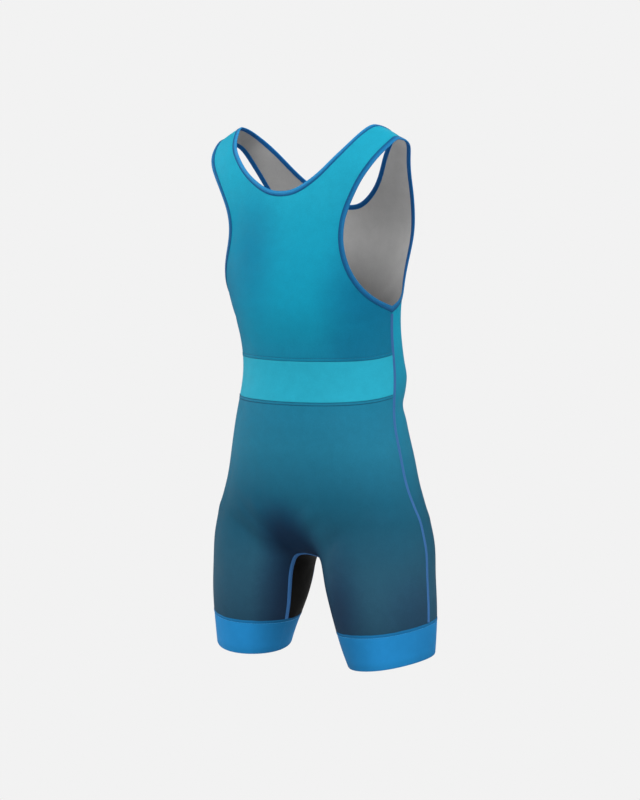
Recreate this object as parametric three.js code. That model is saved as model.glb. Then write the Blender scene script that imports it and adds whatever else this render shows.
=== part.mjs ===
// Wrestling singlet, filled out as if worn, with no wearer inside.
// Millimetres, +Z up, front towards -Y, the wearer's left at +X.
// Origin: middle of the shoulder ridge, where the two straps hang on the shoulders.
import * as THREE from 'three';

// ---------------- driving dimensions ----------------
const CLOTH = 1.5;          // wall of the panels
const BIND_W = 8;           // width of the neck and armhole bindings
const BIND_OUT = 0.5;       // the folded binding stands this far outside the cloth
const BIND_IN = 2.0;        // and reaches this far inside
const TAPE_W = 6;           // flat side seams
const GTAPE_W = 7;          // seams of the gusset
const TAPE_T = 1.0;         // thickness of a seam tape
const LIFT = 0.4;           // a tape lies this far above the panels it joins
const GLIFT = 0.9;          // the same round the gusset, where the cloth curves both ways
const GAP = 0.2;            // each edge stands back this far from its seam line
const ROUND = 0.04;         // how square the body section is
const LEG_TURN = 42 * Math.PI / 180;   // the long axis of the thigh section points out and back
const SLOPE = { from: 128, rate: 0.55, soft: 18, lift: 3.5 };   // fall of the shoulders outwards
const UNDERARM_DROP = 9.8;  // the panels end this far under the armhole's lowest point

// body form: one row per level h below the shoulder ridge
const TORSO_COLS = ['h', 'halfWidth', 'sideY', 'frontDepth', 'backDepth'];
const TORSO = [
  [0, 242.9, 0.0, 0.0, 0.0],
  [16, 242.5, 7.7, 35.7, 36.1],
  [45, 235.4, 6.2, 57.7, 54.4],
  [85, 220.9, 11.2, 74.0, 71.3],
  [125, 204.3, 20.6, 85.2, 83.5],
  [170, 184.2, 22.7, 91.8, 91.5],
  [215, 165.5, 19.8, 98.2, 88.0],
  [275, 147.0, 24.6, 102.7, 80.1],
  [330, 137.4, 36.5, 102.3, 81.8],
  [390, 137.3, 42.4, 103.2, 88.1],
  [450, 143.3, 34.1, 106.2, 94.9],
  [510, 157.9, 34.3, 104.5, 103.8],
  [550, 168.8, 34.1, 101.2, 106.5],
  [590, 184.8, 33.7, 97.9, 106.9],
  [640, 200.8, 33.9, 92.9, 103.6],
  [690, 211.6, 35.1, 87.8, 98.4],
];
// legs: one row per level, centre and the two half-axes of the turned oval
const LEG_COLS = ['z', 'centreX', 'centreY', 'longHalf', 'shortHalf'];
const LEG = [
  [-850, 143.2, 32.0, 59.3, 53.6],
  [-790, 133.9, 31.3, 73.5, 64.4],
  [-730, 123.3, 32.0, 82.7, 77.2],
  [-680, 116.6, 32.0, 86.1, 80.9],
  [-640, 115.6, 35.1, 83.5, 81.3],
  [-600, 106.7, 39.0, 79.4, 83.0],
  [-560, 88.9, 39.8, 80.0, 87.8],
];
// the line inside each leg that the lower panels are laid out round
const AXIS_COLS = ['z', 'x', 'y'];
const AXIS = [
  [-900, 145, 30], [-800, 134, 31], [-730, 123, 32], [-680, 115, 32], [-640, 108, 33], [-600, 100, 34],
  [-560, 90, 34], [-500, 78, 34], [-440, 70, 34], [-380, 66, 36], [-300, 66, 34],
];
// the rounded underside between the legs
const BOWL = { depth: 668, y: 33, radius: 95, rise: 0.001, blend: 55 };

// finished edge of the neck: x and z from the front centre over the ridge to the back centre
const NECK = [
  ['front', 0, -102], ['front', 21, -99.8], ['front', 50.5, -86.8], ['front', 75.5, -69], ['front', 97, -47.8],
  ['front', 118.5, -19.8], ['ridge', 132.5, -4], ['back', 128.5, -20], ['back', 108, -41.5], ['back', 76, -80.5],
  ['back', 40, -109.8], ['back', 13.5, -122], ['back', 0, -123.5],
];
// finished edge of the armhole, from the underarm up the front, over the ridge and down the back
const ARM = [
  ['front', 'side', -275], ['front', 144.8, -263.6], ['front', 134, -239.5], ['front', 121.6, -205.2], ['front', 114.6, -171],
  ['front', 116.9, -145], ['front', 131, -111], ['front', 148.8, -81], ['front', 170, -46], ['ridge', 177.7, -25.5],
  ['back', 170.3, -37.5], ['back', 161.5, -57], ['back', 148.7, -97], ['back', 139.2, -137], ['back', 136.2, -177],
  ['back', 135.8, -217], ['back', 140.8, -253], ['back', 'side', -275],
];
const UNDERARM_Z = -275;
// waistband insert: its two seams at angles round from the front centre to the side seam
const BAND_COLS = ['angle', 'top', 'bottom'];
const BAND = [[0, -360, -421], [45, -358, -419], [70, -355, -415], [90, -349.5, -409.5]];
const JOIN_Z = -409.5;         // level of the waistband's lower seam at the side
// gusset and side seams below: angle round the leg axis (0 outwards, 90 back, 180 inwards, 270 front)
const SEAMS_COLS = ['s', 'gussetFront', 'gussetBack', 'side'];
const SEAMS = [
  [-411, 203, 130, 0], [-560, 203, 130, 1], [-600, 202, 130.5, 3.5], [-645, 202, 131.5, 6.5], [-690, 199, 132.5, 8],
  [-735, 195.5, 133, 7.5], [-780, 191, 133.5, 6.5], [-830, 189, 134, 6],
];
const ARCH_S = -600;         // level, on the leg axis, of the row that meets the gusset's arch in front
const ARCH_BACK = -590;      // and behind
// cuff seam and hem: level = mid + out*cos(angle) + back*sin(angle) + twist*sin(2*angle)
const CUFF_SEAM = { mid: -762.9, out: 8.5, back: 7.2, twist: 2 };
const HEM = { mid: -816.6, out: 6.7, back: 9.2, twist: 0.5 };

// grid counts
const M = 9;                                  // columns of half a panel
const ROWS = { side: 4, arm: 18, neckF: 11, cf: 11, band: 3, armB: 14, neckB: 10, cb: 11, mid: 8, low: 8, gus: 6, cuff: 3 };

const COLOURS = {
  bib: '#23a0c0', band: '#27aac3', lower: '#28627f', back: '#23809f', binding: '#2a6fb4', cuff: '#2878c6',
  gusset: '#101010', seam: '#2461a0',
};

// ---------------- small maths ----------------
const clamp = (x, a, b) => Math.min(b, Math.max(a, x));
const step = (x) => { x = clamp(x, 0, 1); return x * x * (3 - 2 * x); };
const lerp = (a, b, t) => a + (b - a) * t;
const add = (a, b, k = 1) => [a[0] + b[0] * k, a[1] + b[1] * k, a[2] + b[2] * k];
const sub = (a, b) => [a[0] - b[0], a[1] - b[1], a[2] - b[2]];
const dot = (a, b) => a[0] * b[0] + a[1] * b[1] + a[2] * b[2];
const len = (a) => Math.hypot(a[0], a[1], a[2]);
const unit = (a) => { const l = len(a) || 1; return [a[0] / l, a[1] / l, a[2] / l]; };
const cross = (a, b) => [a[1] * b[2] - a[2] * b[1], a[2] * b[0] - a[0] * b[2], a[0] * b[1] - a[1] * b[0]];
const flipX = (p) => [-p[0], p[1], p[2]];
const DEG = Math.PI / 180;

// natural cubic spline through a short table
function spline(xs, ys) {
  const n = xs.length, h = [], lo = Array(n).fill(0), di = Array(n).fill(1), up = Array(n).fill(0), r = Array(n).fill(0), m = Array(n).fill(0);
  for (let i = 0; i < n - 1; i++) h.push(xs[i + 1] - xs[i]);
  for (let i = 1; i < n - 1; i++) {
    lo[i] = h[i - 1]; di[i] = 2 * (h[i - 1] + h[i]); up[i] = h[i];
    r[i] = 6 * ((ys[i + 1] - ys[i]) / h[i] - (ys[i] - ys[i - 1]) / h[i - 1]);
  }
  for (let i = 1; i < n; i++) { const w = lo[i] / di[i - 1]; di[i] -= w * up[i - 1]; r[i] -= w * r[i - 1]; }
  m[n - 1] = r[n - 1] / di[n - 1];
  for (let i = n - 2; i >= 0; i--) m[i] = (r[i] - up[i] * m[i + 1]) / di[i];
  const s0 = (ys[1] - ys[0]) / h[0] - h[0] * (2 * m[0] + m[1]) / 6;
  const s1 = (ys[n - 1] - ys[n - 2]) / h[n - 2] + h[n - 2] * (2 * m[n - 1] + m[n - 2]) / 6;
  return (x) => {
    if (x < xs[0]) return ys[0] + s0 * (x - xs[0]);
    if (x > xs[n - 1]) return ys[n - 1] + s1 * (x - xs[n - 1]);
    let i = 0; while (i < n - 2 && x > xs[i + 1]) i++;
    const d = h[i], a = (xs[i + 1] - x) / d, b = (x - xs[i]) / d;
    return a * ys[i] + b * ys[i + 1] + ((a ** 3 - a) * m[i] + (b ** 3 - b) * m[i + 1]) * d * d / 6;
  };
}
const column = (table, cols, key, name, f = (v) => v) =>
  spline(table.map((r) => f(r[cols.indexOf(key)])), table.map((r) => r[cols.indexOf(name)]));
const T = Object.fromEntries(TORSO_COLS.slice(1).map((c) => [c, column(TORSO, TORSO_COLS, 'h', c, Math.sqrt)]));
const L = Object.fromEntries(LEG_COLS.slice(1).map((c) => [c, column(LEG, LEG_COLS, 'z', c)]));
const A = Object.fromEntries(AXIS_COLS.slice(1).map((c) => [c, column(AXIS, AXIS_COLS, 'z', c)]));
const B = Object.fromEntries(BAND_COLS.slice(1).map((c) => [c, column(BAND, BAND_COLS, 'angle', c)]));
const seamsUp = [...SEAMS].reverse();
const S = Object.fromEntries(SEAMS_COLS.slice(1).map((c) => [c, column(seamsUp, SEAMS_COLS, 's', c)]));

// ---------------- the body form ----------------
// the shoulders slope down towards the arms
const slope = (x, h) => {
  const u = Math.abs(x) - SLOPE.from;
  return (SLOPE.rate * (Math.hypot(u, SLOPE.soft) + u) / 2 - SLOPE.lift) * clamp(1 - h / 230, 0, 1) ** 2;
};
const rho = (phi) => 1 + ROUND * Math.sin(2 * phi) ** 2;
// chart of the upper body: phi round from the centre line, tau the root of the depth under the ridge
// (plus in front, minus behind)
function chart(phi, tau) {
  const t = Math.abs(tau), h = t * t, r = rho(phi), x = T.halfWidth(t) * r * Math.sin(phi), back = tau < 0;
  const d = back ? T.backDepth(t) : -T.frontDepth(t);
  return [x, T.sideY(t) + d * r * Math.cos(phi), -h - slope(x, h)];
}
function depthAt(x, z) { let h = Math.max(-z, 0); for (let i = 0; i < 14; i++) h = Math.max(-z - slope(x, h), 0); return h; }
function phiAt(x, h) {
  const a = T.halfWidth(Math.sqrt(h)); let lo = 0, hi = Math.PI / 2;
  for (let i = 0; i < 44; i++) { const m = (lo + hi) / 2; if (a * rho(m) * Math.sin(m) < Math.abs(x)) lo = m; else hi = m; }
  return (lo + hi) / 2 * Math.sign(x);
}
function chartDerivs(phi, tau) {
  const e = 1e-3, f = 2e-3;
  const s = tau === 0 ? 0 : Math.sign(tau), t0 = Math.abs(tau) < f ? s * f || f : tau;
  return [
    unit2(sub(chart(phi + e, t0), chart(phi - e, t0)), 2 * e), unit2(sub(chart(phi, t0 + f), chart(phi, t0 - f)), 2 * f),
  ];
}
const unit2 = (a, k) => [a[0] / k, a[1] / k, a[2] / k];
function chartNormal(phi, tau) {
  const [u, v] = chartDerivs(phi, tau);
  return unit(cross(v, u));           // pointing outwards in front and behind
}

// soft union of body and leg, used from the waist down
const smin = (a, b, k) => { const d = Math.max(k - Math.abs(a - b), 0) / k; return Math.min(a, b) - d ** 3 * k / 6; };
function field(x, y, z) {
  x = Math.abs(x);
  const t = Math.sqrt(Math.max(-z, 1)), yc = T.sideY(t), b = y < yc ? T.frontDepth(t) : T.backDepth(t);
  const X = x / T.halfWidth(t), Y = Math.abs(y - yc) / b, r0 = Math.hypot(X, Y) + 1e-9;
  const body = Math.hypot(x, y - yc) * (1 - rho(Math.atan2(X, Y)) / r0);
  const bowl = -z - BOWL.depth + (y - BOWL.y) ** 2 / (2 * BOWL.radius) + BOWL.rise * x * x;
  const trunk = -smin(-body, -bowl, BOWL.blend);
  const dx = x - L.centreX(z), dy = y - L.centreY(z), c = Math.cos(LEG_TURN), s = Math.sin(LEG_TURN);
  const k = Math.hypot((dx * c + dy * s) / L.longHalf(z), (-dx * s + dy * c) / L.shortHalf(z)) + 1e-9;
  const leg = Math.hypot(dx, dy) * (1 - 1 / k) + 60 * step((z + 600) / 90);
  return smin(trunk, leg, 10 + 35 * Math.exp(-((x / 55) ** 2)) + 38 * Math.exp(-(((x - 54) / 21) ** 2)));
}
function fieldNormal(p) {
  const e = 0.05, g = [0, 1, 2].map((i) => {
    const a = [...p], b = [...p]; a[i] += e; b[i] -= e; return field(...a) - field(...b);
  });
  if (Math.abs(p[0]) < 1e-6) g[0] = 0;
  return unit(g);
}
// rays from the leg axis, tipped down on the inner side so that they cover the underside between the legs
const tip = (th, s) => 0.62 * step((-s - 470) / 140) * step((s + 760) / 130) * ((1 - Math.cos(th)) / 2) ** 2;
const rayAt = (th, s, r) => [A.x(s) + r * Math.cos(th), A.y(s) + r * Math.sin(th), s - r * tip(th, s)];
function hit(th, s) {
  let a = 5, b = 260;
  for (let i = 1; i <= 52; i++) {
    const r = 5 + 255 * i / 52;
    if (field(...rayAt(th, s, r)) > 0) { a = 5 + 255 * (i - 1) / 52; b = r; break; }
  }
  for (let i = 0; i < 34; i++) { const m = (a + b) / 2; if (field(...rayAt(th, s, m)) < 0) a = m; else b = m; }
  return rayAt(th, s, (a + b) / 2);
}
// the point where a ray meets the centre plane
const onPlane = (th, s) => { const p = rayAt(th, s, -A.x(s) / Math.cos(th)); p[0] = 0; return p; };
// angle at which row s meets the body on the centre plane, in front (side -1) or behind (side +1)
function centreAngle(s, side) {
  let lo = 180, hi = side < 0 ? 262 : 98;
  for (let i = 0; i < 44; i++) { const m = (lo + hi) / 2; if (field(...onPlane(m * DEG, s)) < 0) lo = m; else hi = m; }
  return (lo + hi) / 2;
}
// level at which the ray at one angle meets the underside on the centre plane
function underS(th) {
  let hi = ARCH_S + 70, lo = ARCH_S - 60;
  for (let i = 0; i < 44; i++) { const m = (lo + hi) / 2; if (field(...onPlane(th * DEG, m)) < 0) hi = m; else lo = m; }
  return (lo + hi) / 2;
}

// ---------------- edges ----------------
// a finished edge as a smooth curve in the chart, with samples at even spacing along it
function edge(table, mirrorEnds) {
  let k = table.map(([side, x, z]) => {
    if (x === 'side') return [Math.PI / 2, Math.sqrt(-z) * (side === 'back' ? -1 : 1)];
    const h = side === 'ridge' ? 0 : depthAt(x, z);
    return [phiAt(x, h), Math.sqrt(h) * (side === 'back' ? -1 : 1)];
  });
  let first = 0;
  if (mirrorEnds) {
    const pre = [k[2], k[1]].map(([p, t]) => [-p, t]), post = [k[k.length - 2], k[k.length - 3]].map(([p, t]) => [-p, t]);
    k = [...pre, ...k, ...post]; first = 2;
  }
  const u = [0];
  for (let i = 1; i < k.length; i++) u.push(u[i - 1] + len(sub(chart(...k[i]), chart(...k[i - 1]))));
  const fp = spline(u, k.map((q) => q[0])), ft = spline(u, k.map((q) => q[1]));
  const u0 = u[first], u1 = u[u.length - 1 - first], N = 800;
  const at = (v) => [fp(v), ft(v)];
  // length along the curve
  const us = [], ls = [0];
  for (let i = 0; i <= N; i++) us.push(lerp(u0, u1, i / N));
  for (let i = 1; i <= N; i++) ls.push(ls[i - 1] + len(sub(chart(...at(us[i])), chart(...at(us[i - 1])))));
  let ridge = us[0];
  for (let i = 1; i <= N; i++) if (at(us[i - 1])[1] > 0 && at(us[i])[1] <= 0) {
    let a = us[i - 1], b = us[i];
    for (let j = 0; j < 50; j++) { const m = (a + b) / 2; if (at(m)[1] > 0) a = m; else b = m; }
    ridge = (a + b) / 2;
  }
  const lenOf = (v) => { const q = (v - u0) / (u1 - u0) * N, i = clamp(Math.floor(q), 0, N - 1); return lerp(ls[i], ls[i + 1], q - i); };
  const uOf = (l) => { let i = 0; while (i < N - 1 && ls[i + 1] < l) i++; return lerp(us[i], us[i + 1], (l - ls[i]) / (ls[i + 1] - ls[i])); };
  return { at, lenOf, uOf, total: ls[N], ridgeLen: lenOf(ridge), ridge };
}
const neckEdge = edge(NECK, true), armEdge = edge(ARM, false);
// chart point at a distance w from the edge, on the cloth's side (way = +1 or -1)
function inside(e, u, w, way) {
  const [p, t] = e.at(u), d = 0.5, a = e.at(u - d), b = e.at(u + d);
  const tan = unit(sub(chart(...b), chart(...a)));
  const [dp, dt] = chartDerivs(p, t), n = chartNormal(p, t);
  let m = unit(cross(n, tan)); m = [m[0] * way, m[1] * way, m[2] * way];
  const g = [dot(dp, dp), dot(dp, dt), dot(dt, dt)], r = [dot(dp, m) * w, dot(dt, m) * w], q = g[0] * g[2] - g[1] * g[1];
  return [p + (r[0] * g[2] - r[1] * g[1]) / q, t + (r[1] * g[0] - r[0] * g[1]) / q];
}
// samples of an edge: finished line and the line BIND_W inside it; the ridge is sample nFront
function samples(e, nFront, nBack, way, sideEnds) {
  const out = [];
  for (let i = 0; i <= nFront + nBack; i++) {
    const l = i <= nFront ? e.ridgeLen * i / nFront : lerp(e.ridgeLen, e.total, (i - nFront) / nBack);
    const u = i === nFront ? e.ridge : e.uOf(l);
    const o = e.at(u); let q = inside(e, u, BIND_W, way);
    if (i === nFront) { o[1] = 0; q[1] = 0; }
    if (sideEnds) {
      const d = Math.min(l, e.total - l), f = step(1 - d / 26);
      const corner = [Math.PI / 2, Math.sqrt(-(UNDERARM_Z - UNDERARM_DROP)) * Math.sign(o[1])];
      const base = [Math.PI / 2, Math.sqrt(-UNDERARM_Z) * Math.sign(o[1])];
      if (f > 0) q = [lerp(q[0], o[0] + corner[0] - base[0], f), lerp(q[1], o[1] + corner[1] - base[1], f)];
      q[0] = Math.min(q[0], Math.PI / 2);
    } else if (i === 0 || i === nFront + nBack) q[0] = o[0] = 0;
    out.push({ edge: o, in: q });
  }
  return out;
}
const neckS = samples(neckEdge, ROWS.neckF, ROWS.neckB, -1, false);
const armS = samples(armEdge, ROWS.arm, ROWS.armB, 1, true);

// ---------------- grids of half panels ----------------
// a grid is G[i][j] = {p, n}: i from the inner edge (0) to the side (M), j upwards
const cp = (phi, tau) => ({ p: chart(phi, tau), n: chartNormal(phi, tau) });
const fp = (th, s) => { const p = hit(th * DEG, s); return { p, n: fieldNormal(p) }; };
const centrePoint = (th, s) => { const p = onPlane(th * DEG, s); return { p, n: fieldNormal(p) }; };
const make = (m, n, f) => Array.from({ length: m + 1 }, (_, i) => Array.from({ length: n + 1 }, (_, j) => f(i, j)));
const HALF = Math.PI / 2;

// front bib
const nBib = ROWS.cf + ROWS.neckF;
const bibIn = [], bibOut = [];
for (let j = 0; j <= ROWS.cf; j++) bibIn.push([0, Math.sqrt(lerp(-B.top(0), -depthZ(neckS[0].in), j / ROWS.cf))]);
for (let j = 1; j <= ROWS.neckF; j++) bibIn.push(neckS[j].in);
for (let j = 0; j <= ROWS.side; j++) bibOut.push([HALF, Math.sqrt(lerp(-B.top(90), -(UNDERARM_Z - UNDERARM_DROP), j / ROWS.side))]);
for (let j = 1; j <= ROWS.arm; j++) bibOut.push(armS[j].in);
function depthZ([p, t]) { return -(t * t); }
const bib = make(M, nBib, (i, j) => {
  const w = i / M, a = bibIn[j], b = bibOut[j], phi = lerp(a[0], b[0], w);
  const dev = Math.sqrt(-B.top(w * 90)) - lerp(bibIn[0][1], bibOut[0][1], w);
  return cp(phi, lerp(a[1], b[1], w) + dev * Math.max(0, 1 - j / 5));
});
// waistband
const band = make(M, ROWS.band, (i, j) => {
  const w = i / M; return cp(w * HALF, lerp(Math.sqrt(-B.bottom(w * 90)), Math.sqrt(-B.top(w * 90)), j / ROWS.band));
});
// back, above the level of the waistband's lower seam
const nBackUp = ROWS.cb + ROWS.neckB, nN = neckS.length - 1, nA = armS.length - 1;
const bkIn = [], bkOut = [];
for (let j = 0; j <= ROWS.cb; j++) bkIn.push([0, -Math.sqrt(lerp(-JOIN_Z, -depthZ(neckS[nN].in), j / ROWS.cb))]);
for (let j = 1; j <= ROWS.neckB; j++) bkIn.push(neckS[nN - j].in);
for (let j = 0; j <= ROWS.band; j++) bkOut.push([HALF, -lerp(Math.sqrt(-B.bottom(90)), Math.sqrt(-B.top(90)), j / ROWS.band)]);
for (let j = 1; j <= ROWS.side; j++) bkOut.push([HALF, -bibOut[j][1]]);
for (let j = 1; j <= ROWS.armB; j++) bkOut.push(armS[nA - j].in);
const backUp = make(M, nBackUp, (i, j) => {
  const w = i / M, a = bkIn[j], b = bkOut[j]; return cp(lerp(a[0], b[0], w), lerp(a[1], b[1], w));
});
// lower panels: rows of level s from the waist (k = 0) through the arch row (k = mid) to the cuff seam
const nLow = ROWS.mid + ROWS.low;
const lowQ = (k) => (k / ROWS.low) ** 1.35;    // rows lie closer near the arch
const cuffLine = (c, th) => c.mid + c.out * Math.cos(th * DEG) + c.back * Math.sin(th * DEG) + c.twist * Math.sin(2 * th * DEG);
const angleOf = (p, s) => { let a = Math.atan2(p[1] - A.y(s), p[0] - A.x(s)) / DEG; return a; };
// how the seam leaves the arch: level at first behind, so that the arch is round there
const archFade = (t, front) => { t = clamp(t, 0, 1); return front ? (1 - t) ** 2 : 1 - Math.sqrt(1 - (1 - t) ** 2); };
function lowerGrid(front) {
  const side = front ? -1 : 1;
  const topZ = (w) => (front ? B.bottom(w * 90) : JOIN_Z);
  const arch = (w) => (front ? ARCH_S : lerp(ARCH_BACK, ARCH_S, w));
  return make(M, nLow, (i, jj) => {
    const k = nLow - jj, w = i / M;               // j counts upwards
    if (k === 0) return cp(w * HALF, Math.sqrt(-topZ(w)) * (front ? 1 : -1));
    const f = Math.min(1, k / ROWS.mid);
    let s = k <= ROWS.mid ? lerp(topZ(w), arch(w), f) : arch(w);
    const sIn = k <= ROWS.mid ? lerp(topZ(0), arch(0), f) : arch(0);
    const ends = (sv) => {
      let inner = k <= ROWS.mid ? centreAngle(sv, side) : S[front ? 'gussetFront' : 'gussetBack'](sv);
      if (k > ROWS.mid) {                         // carry the arch's own angle smoothly into the seam
        const c = archAngle[front ? 'f' : 'b'] - S[front ? 'gussetFront' : 'gussetBack'](arch(0));
        inner += c * archFade((arch(0) - sv) / 60, front);
      }
      return inner;
    };
    const pTop = chart(w * HALF, Math.sqrt(-s) * (front ? 1 : -1));
    let aTop = angleOf(pTop, s); if (front && aTop < 60) aTop += 360;
    if (k <= ROWS.mid) {
      const inner = ends(s), outer = S.side(s) + (front ? 360 : 0), aLeg = lerp(inner, outer, w), g = step(f);
      if (i === 0) return centrePoint(centreAngle(sIn, side), sIn);
      if (i === M) return k === ROWS.mid ? fp(outer, s) : fp(lerp(aTop, outer, g), s);
      return fp(lerp(aTop, aLeg, g), s);
    }
    const q = lowQ(k - ROWS.mid);
    let th = 0; s = lerp(arch(w), cuffLine(CUFF_SEAM, lerp(front ? 195 : 133, front ? 367 : 7, w)), q);
    for (let it = 0; it < 4; it++) {
      th = lerp(ends(s), S.side(s) + (front ? 360 : 0), w);
      s = lerp(arch(w), cuffLine(CUFF_SEAM, th), q);
    }
    return fp(th, s);
  });
}
const archAngle = { f: centreAngle(ARCH_S, -1), b: centreAngle(ARCH_BACK, 1) };
const lowF = lowerGrid(true), lowB = lowerGrid(false);
// gusset: i from the front seam to the back seam, j from the cuff seam up to the centre plane
const seamAt = (q, front) => {
  const key = front ? 'gussetFront' : 'gussetBack', a0 = front ? ARCH_S : ARCH_BACK, c = archAngle[front ? 'f' : 'b'] - S[key](a0);
  let th = 0, s = lerp(a0, cuffLine(CUFF_SEAM, front ? 195 : 133), q);
  for (let it = 0; it < 4; it++) { th = S[key](s) + c * archFade((a0 - s) / 60, front); s = lerp(a0, cuffLine(CUFF_SEAM, th), q); }
  return [th, s];
};
const gus = make(ROWS.gus, ROWS.low, (i, j) => {
  const q = lowQ(ROWS.low - j), w = i / ROWS.gus, a = seamAt(q, true), b = seamAt(q, false);
  const thTop = lerp(archAngle.f, archAngle.b, w), sTop = i === 0 ? ARCH_S : i === ROWS.gus ? ARCH_BACK : underS(thTop);
  if (q === 0) return centrePoint(thTop, sTop);
  const th = lerp(a[0], b[0], w);
  return fp(th, i === 0 ? a[1] : i === ROWS.gus ? b[1] : lerp(sTop, cuffLine(CUFF_SEAM, th), q));
});

// ---------------- solids ----------------
function solid(name, colour, V, N, quads, outer, inner, rough = 0.75) {
  const nV = V.length, pos = [], idx = [];
  for (let i = 0; i < nV; i++) pos.push(...add(V[i], N[i], outer));
  for (let i = 0; i < nV; i++) pos.push(...add(V[i], N[i], inner));
  const edges = new Map();
  for (const q of quads) {
    for (let k = 0; k < 4; k++) edges.set(q[k] + '_' + q[(k + 1) % 4], [q[k], q[(k + 1) % 4]]);
    const d1 = len(sub(V[q[0]], V[q[2]])), d2 = len(sub(V[q[1]], V[q[3]]));
    const tris = d1 <= d2 ? [[0, 1, 2], [0, 2, 3]] : [[0, 1, 3], [1, 2, 3]];
    for (const t of tris) {
      idx.push(q[t[0]], q[t[1]], q[t[2]]);
      idx.push(q[t[0]] + nV, q[t[2]] + nV, q[t[1]] + nV);
    }
  }
  for (const [a, b] of edges.values()) if (!edges.has(b + '_' + a)) idx.push(b, a, a + nV, b, a + nV, b + nV);
  const g = new THREE.BufferGeometry();
  g.setAttribute('position', new THREE.Float32BufferAttribute(pos, 3));
  g.setIndex(idx); g.computeVertexNormals();
  const mesh = new THREE.Mesh(g, new THREE.MeshStandardMaterial({ color: colour, roughness: rough, metalness: 0 }));
  mesh.name = name; return mesh;
}
// direction from a boundary point into its panel, square to the boundary
function inward(a, nb, prev, next) {
  const t = unit(sub(next.p, prev.p)), d = sub(nb.p, a.p), k = dot(d, t);
  return unit(add(d, t, -k));
}
const onMid = (q) => Math.abs(q.p[0]) < 1e-4;
// edges of a half grid that stand back from their seam: inner (rows from..to), side, bottom, top
function setBack(G, { innerFrom = Infinity, innerTo = -1, innerFrom2 = Infinity, side = true, bottom = true, top = true }) {
  const m = G.length - 1, n = G[0].length - 1, H = G.map((c) => c.slice());
  const put = (i, j, d) => { H[i][j] = { p: add(H[i][j].p, d, GAP), n: H[i][j].n }; };
  const at = (i, j) => G[clamp(i, 0, m)][clamp(j, 0, n)];
  for (let j = 0; j <= n; j++) {
    if ((j >= innerFrom && j <= innerTo) || j >= innerFrom2) {
      const a = G[0][j];
      if (onMid(a)) {
        const up = j < n && onMid(G[0][j + 1]), nb = G[0][up ? j + 1 : j - 1], row = j === n && onMid(G[1][j]) ? G[1][j] : nb;
        const d = unit(sub(row.p, a.p)); put(0, j, [0, d[1], d[2]]);
      } else put(0, j, inward(a, G[1][j], at(0, j - 1), at(0, j + 1)));
    }
    if (side) put(m, j, inward(G[m][j], G[m - 1][j], at(m, j - 1), at(m, j + 1)));
  }
  for (let i = 0; i <= m; i++) {
    if (bottom) put(i, 0, inward(G[i][0], G[i][1], at(i - 1, 0), at(i + 1, 0)));
    if (top) put(i, n, inward(G[i][n], G[i][n - 1], at(i - 1, n), at(i + 1, n)));
  }
  for (let j = 0; j <= n; j++) if (onMid(G[0][j])) H[0][j] = { p: [0, H[0][j].p[1], H[0][j].p[2]], n: H[0][j].n };
  return H;
}
// both halves of a panel joined where the inner column lies on the centre plane
function whole(G) {
  const m = G.length - 1, n = G[0].length - 1, V = [], N = [], L0 = [], R0 = [];
  for (let i = 0; i <= m; i++) {
    L0.push([]); R0.push([]);
    for (let j = 0; j <= n; j++) {
      const q = G[i][j], mid = Math.abs(q.p[0]) < 1e-4;
      const p = mid ? [0, q.p[1], q.p[2]] : q.p, nn = mid ? unit([0, q.n[1], q.n[2]]) : q.n;
      L0[i].push(V.length); V.push(p); N.push(nn);
      if (mid) R0[i].push(L0[i][j]); else { R0[i].push(V.length); V.push(flipX(p)); N.push(flipX(nn)); }
    }
  }
  return { V, N, L0, R0, m, n };
}
const quadsOf = (I, m, n, flip) => {
  const q = [];
  for (let i = 0; i < m; i++) for (let j = 0; j < n; j++) {
    const a = [I[i][j], I[i + 1][j], I[i + 1][j + 1], I[i][j + 1]]; q.push(flip ? a.reverse() : a);
  }
  return q;
};
// turn the quads so that they face along their normals
function facing(V, N, quads) {
  let sum = 0;
  for (const q of quads) sum += dot(cross(sub(V[q[2]], V[q[0]]), sub(V[q[3]], V[q[1]])), N[q[0]]);
  return sum > 0 ? quads : quads.map((a) => [...a].reverse());
}
function panel(name, colour, G) {
  const w = whole(G);
  const quads = [...facing(w.V, w.N, quadsOf(w.L0, w.m, w.n, false)), ...facing(w.V, w.N, quadsOf(w.R0, w.m, w.n, true))];
  return solid(name, colour, w.V, w.N, quads, 0, -CLOTH);
}
// a closed or open strip: rows of points across, one list per station
function strip(name, colour, rows, outer, inner, closed) {
  const V = [], N = [], c = rows[0].length;
  rows.forEach((r) => r.forEach((q) => { V.push(q.p); N.push(q.n); }));
  const quads = [], R = rows.length;
  for (let k = 0; k < (closed ? R : R - 1); k++) for (let i = 0; i < c - 1; i++) {
    const a = k * c + i, b = ((k + 1) % R) * c + i; quads.push([a, a + 1, b + 1, b]);
  }
  return solid(name, colour, V, N, facing(V, N, quads), outer, inner);
}
const flip = (q) => ({ p: flipX(q.p), n: flipX(q.n) });
const toward = (a, b, w) => ({ p: add(a.p, unit(sub(b.p, a.p)), w), n: a.n });
const square = (a, nb, prev, next, w) => ({ p: add(a.p, inward(a, nb, prev, next), w), n: a.n });

const group = new THREE.Group();
group.add(panel('front_bib', COLOURS.bib, setBack(bib, { innerFrom: ROWS.cf, innerTo: nBib })));
group.add(panel('waistband_front', COLOURS.band, setBack(band, {})));
group.add(panel('front_lower', COLOURS.lower, setBack(lowF, { innerFrom: 0, innerTo: ROWS.low })));
// the back is one piece: lower rows and upper rows share the row between them
const backAll = backUp.map((c, i) => [...lowB[i].slice(0, -1), ...c]);
group.add(panel('back_panel', COLOURS.back, setBack(backAll, { innerFrom: 0, innerTo: ROWS.low, innerFrom2: nLow + ROWS.cb })));
group.add(panel('gusset', COLOURS.gusset, setBack(gus, { innerFrom: 0, innerTo: ROWS.low, top: false })));

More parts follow.
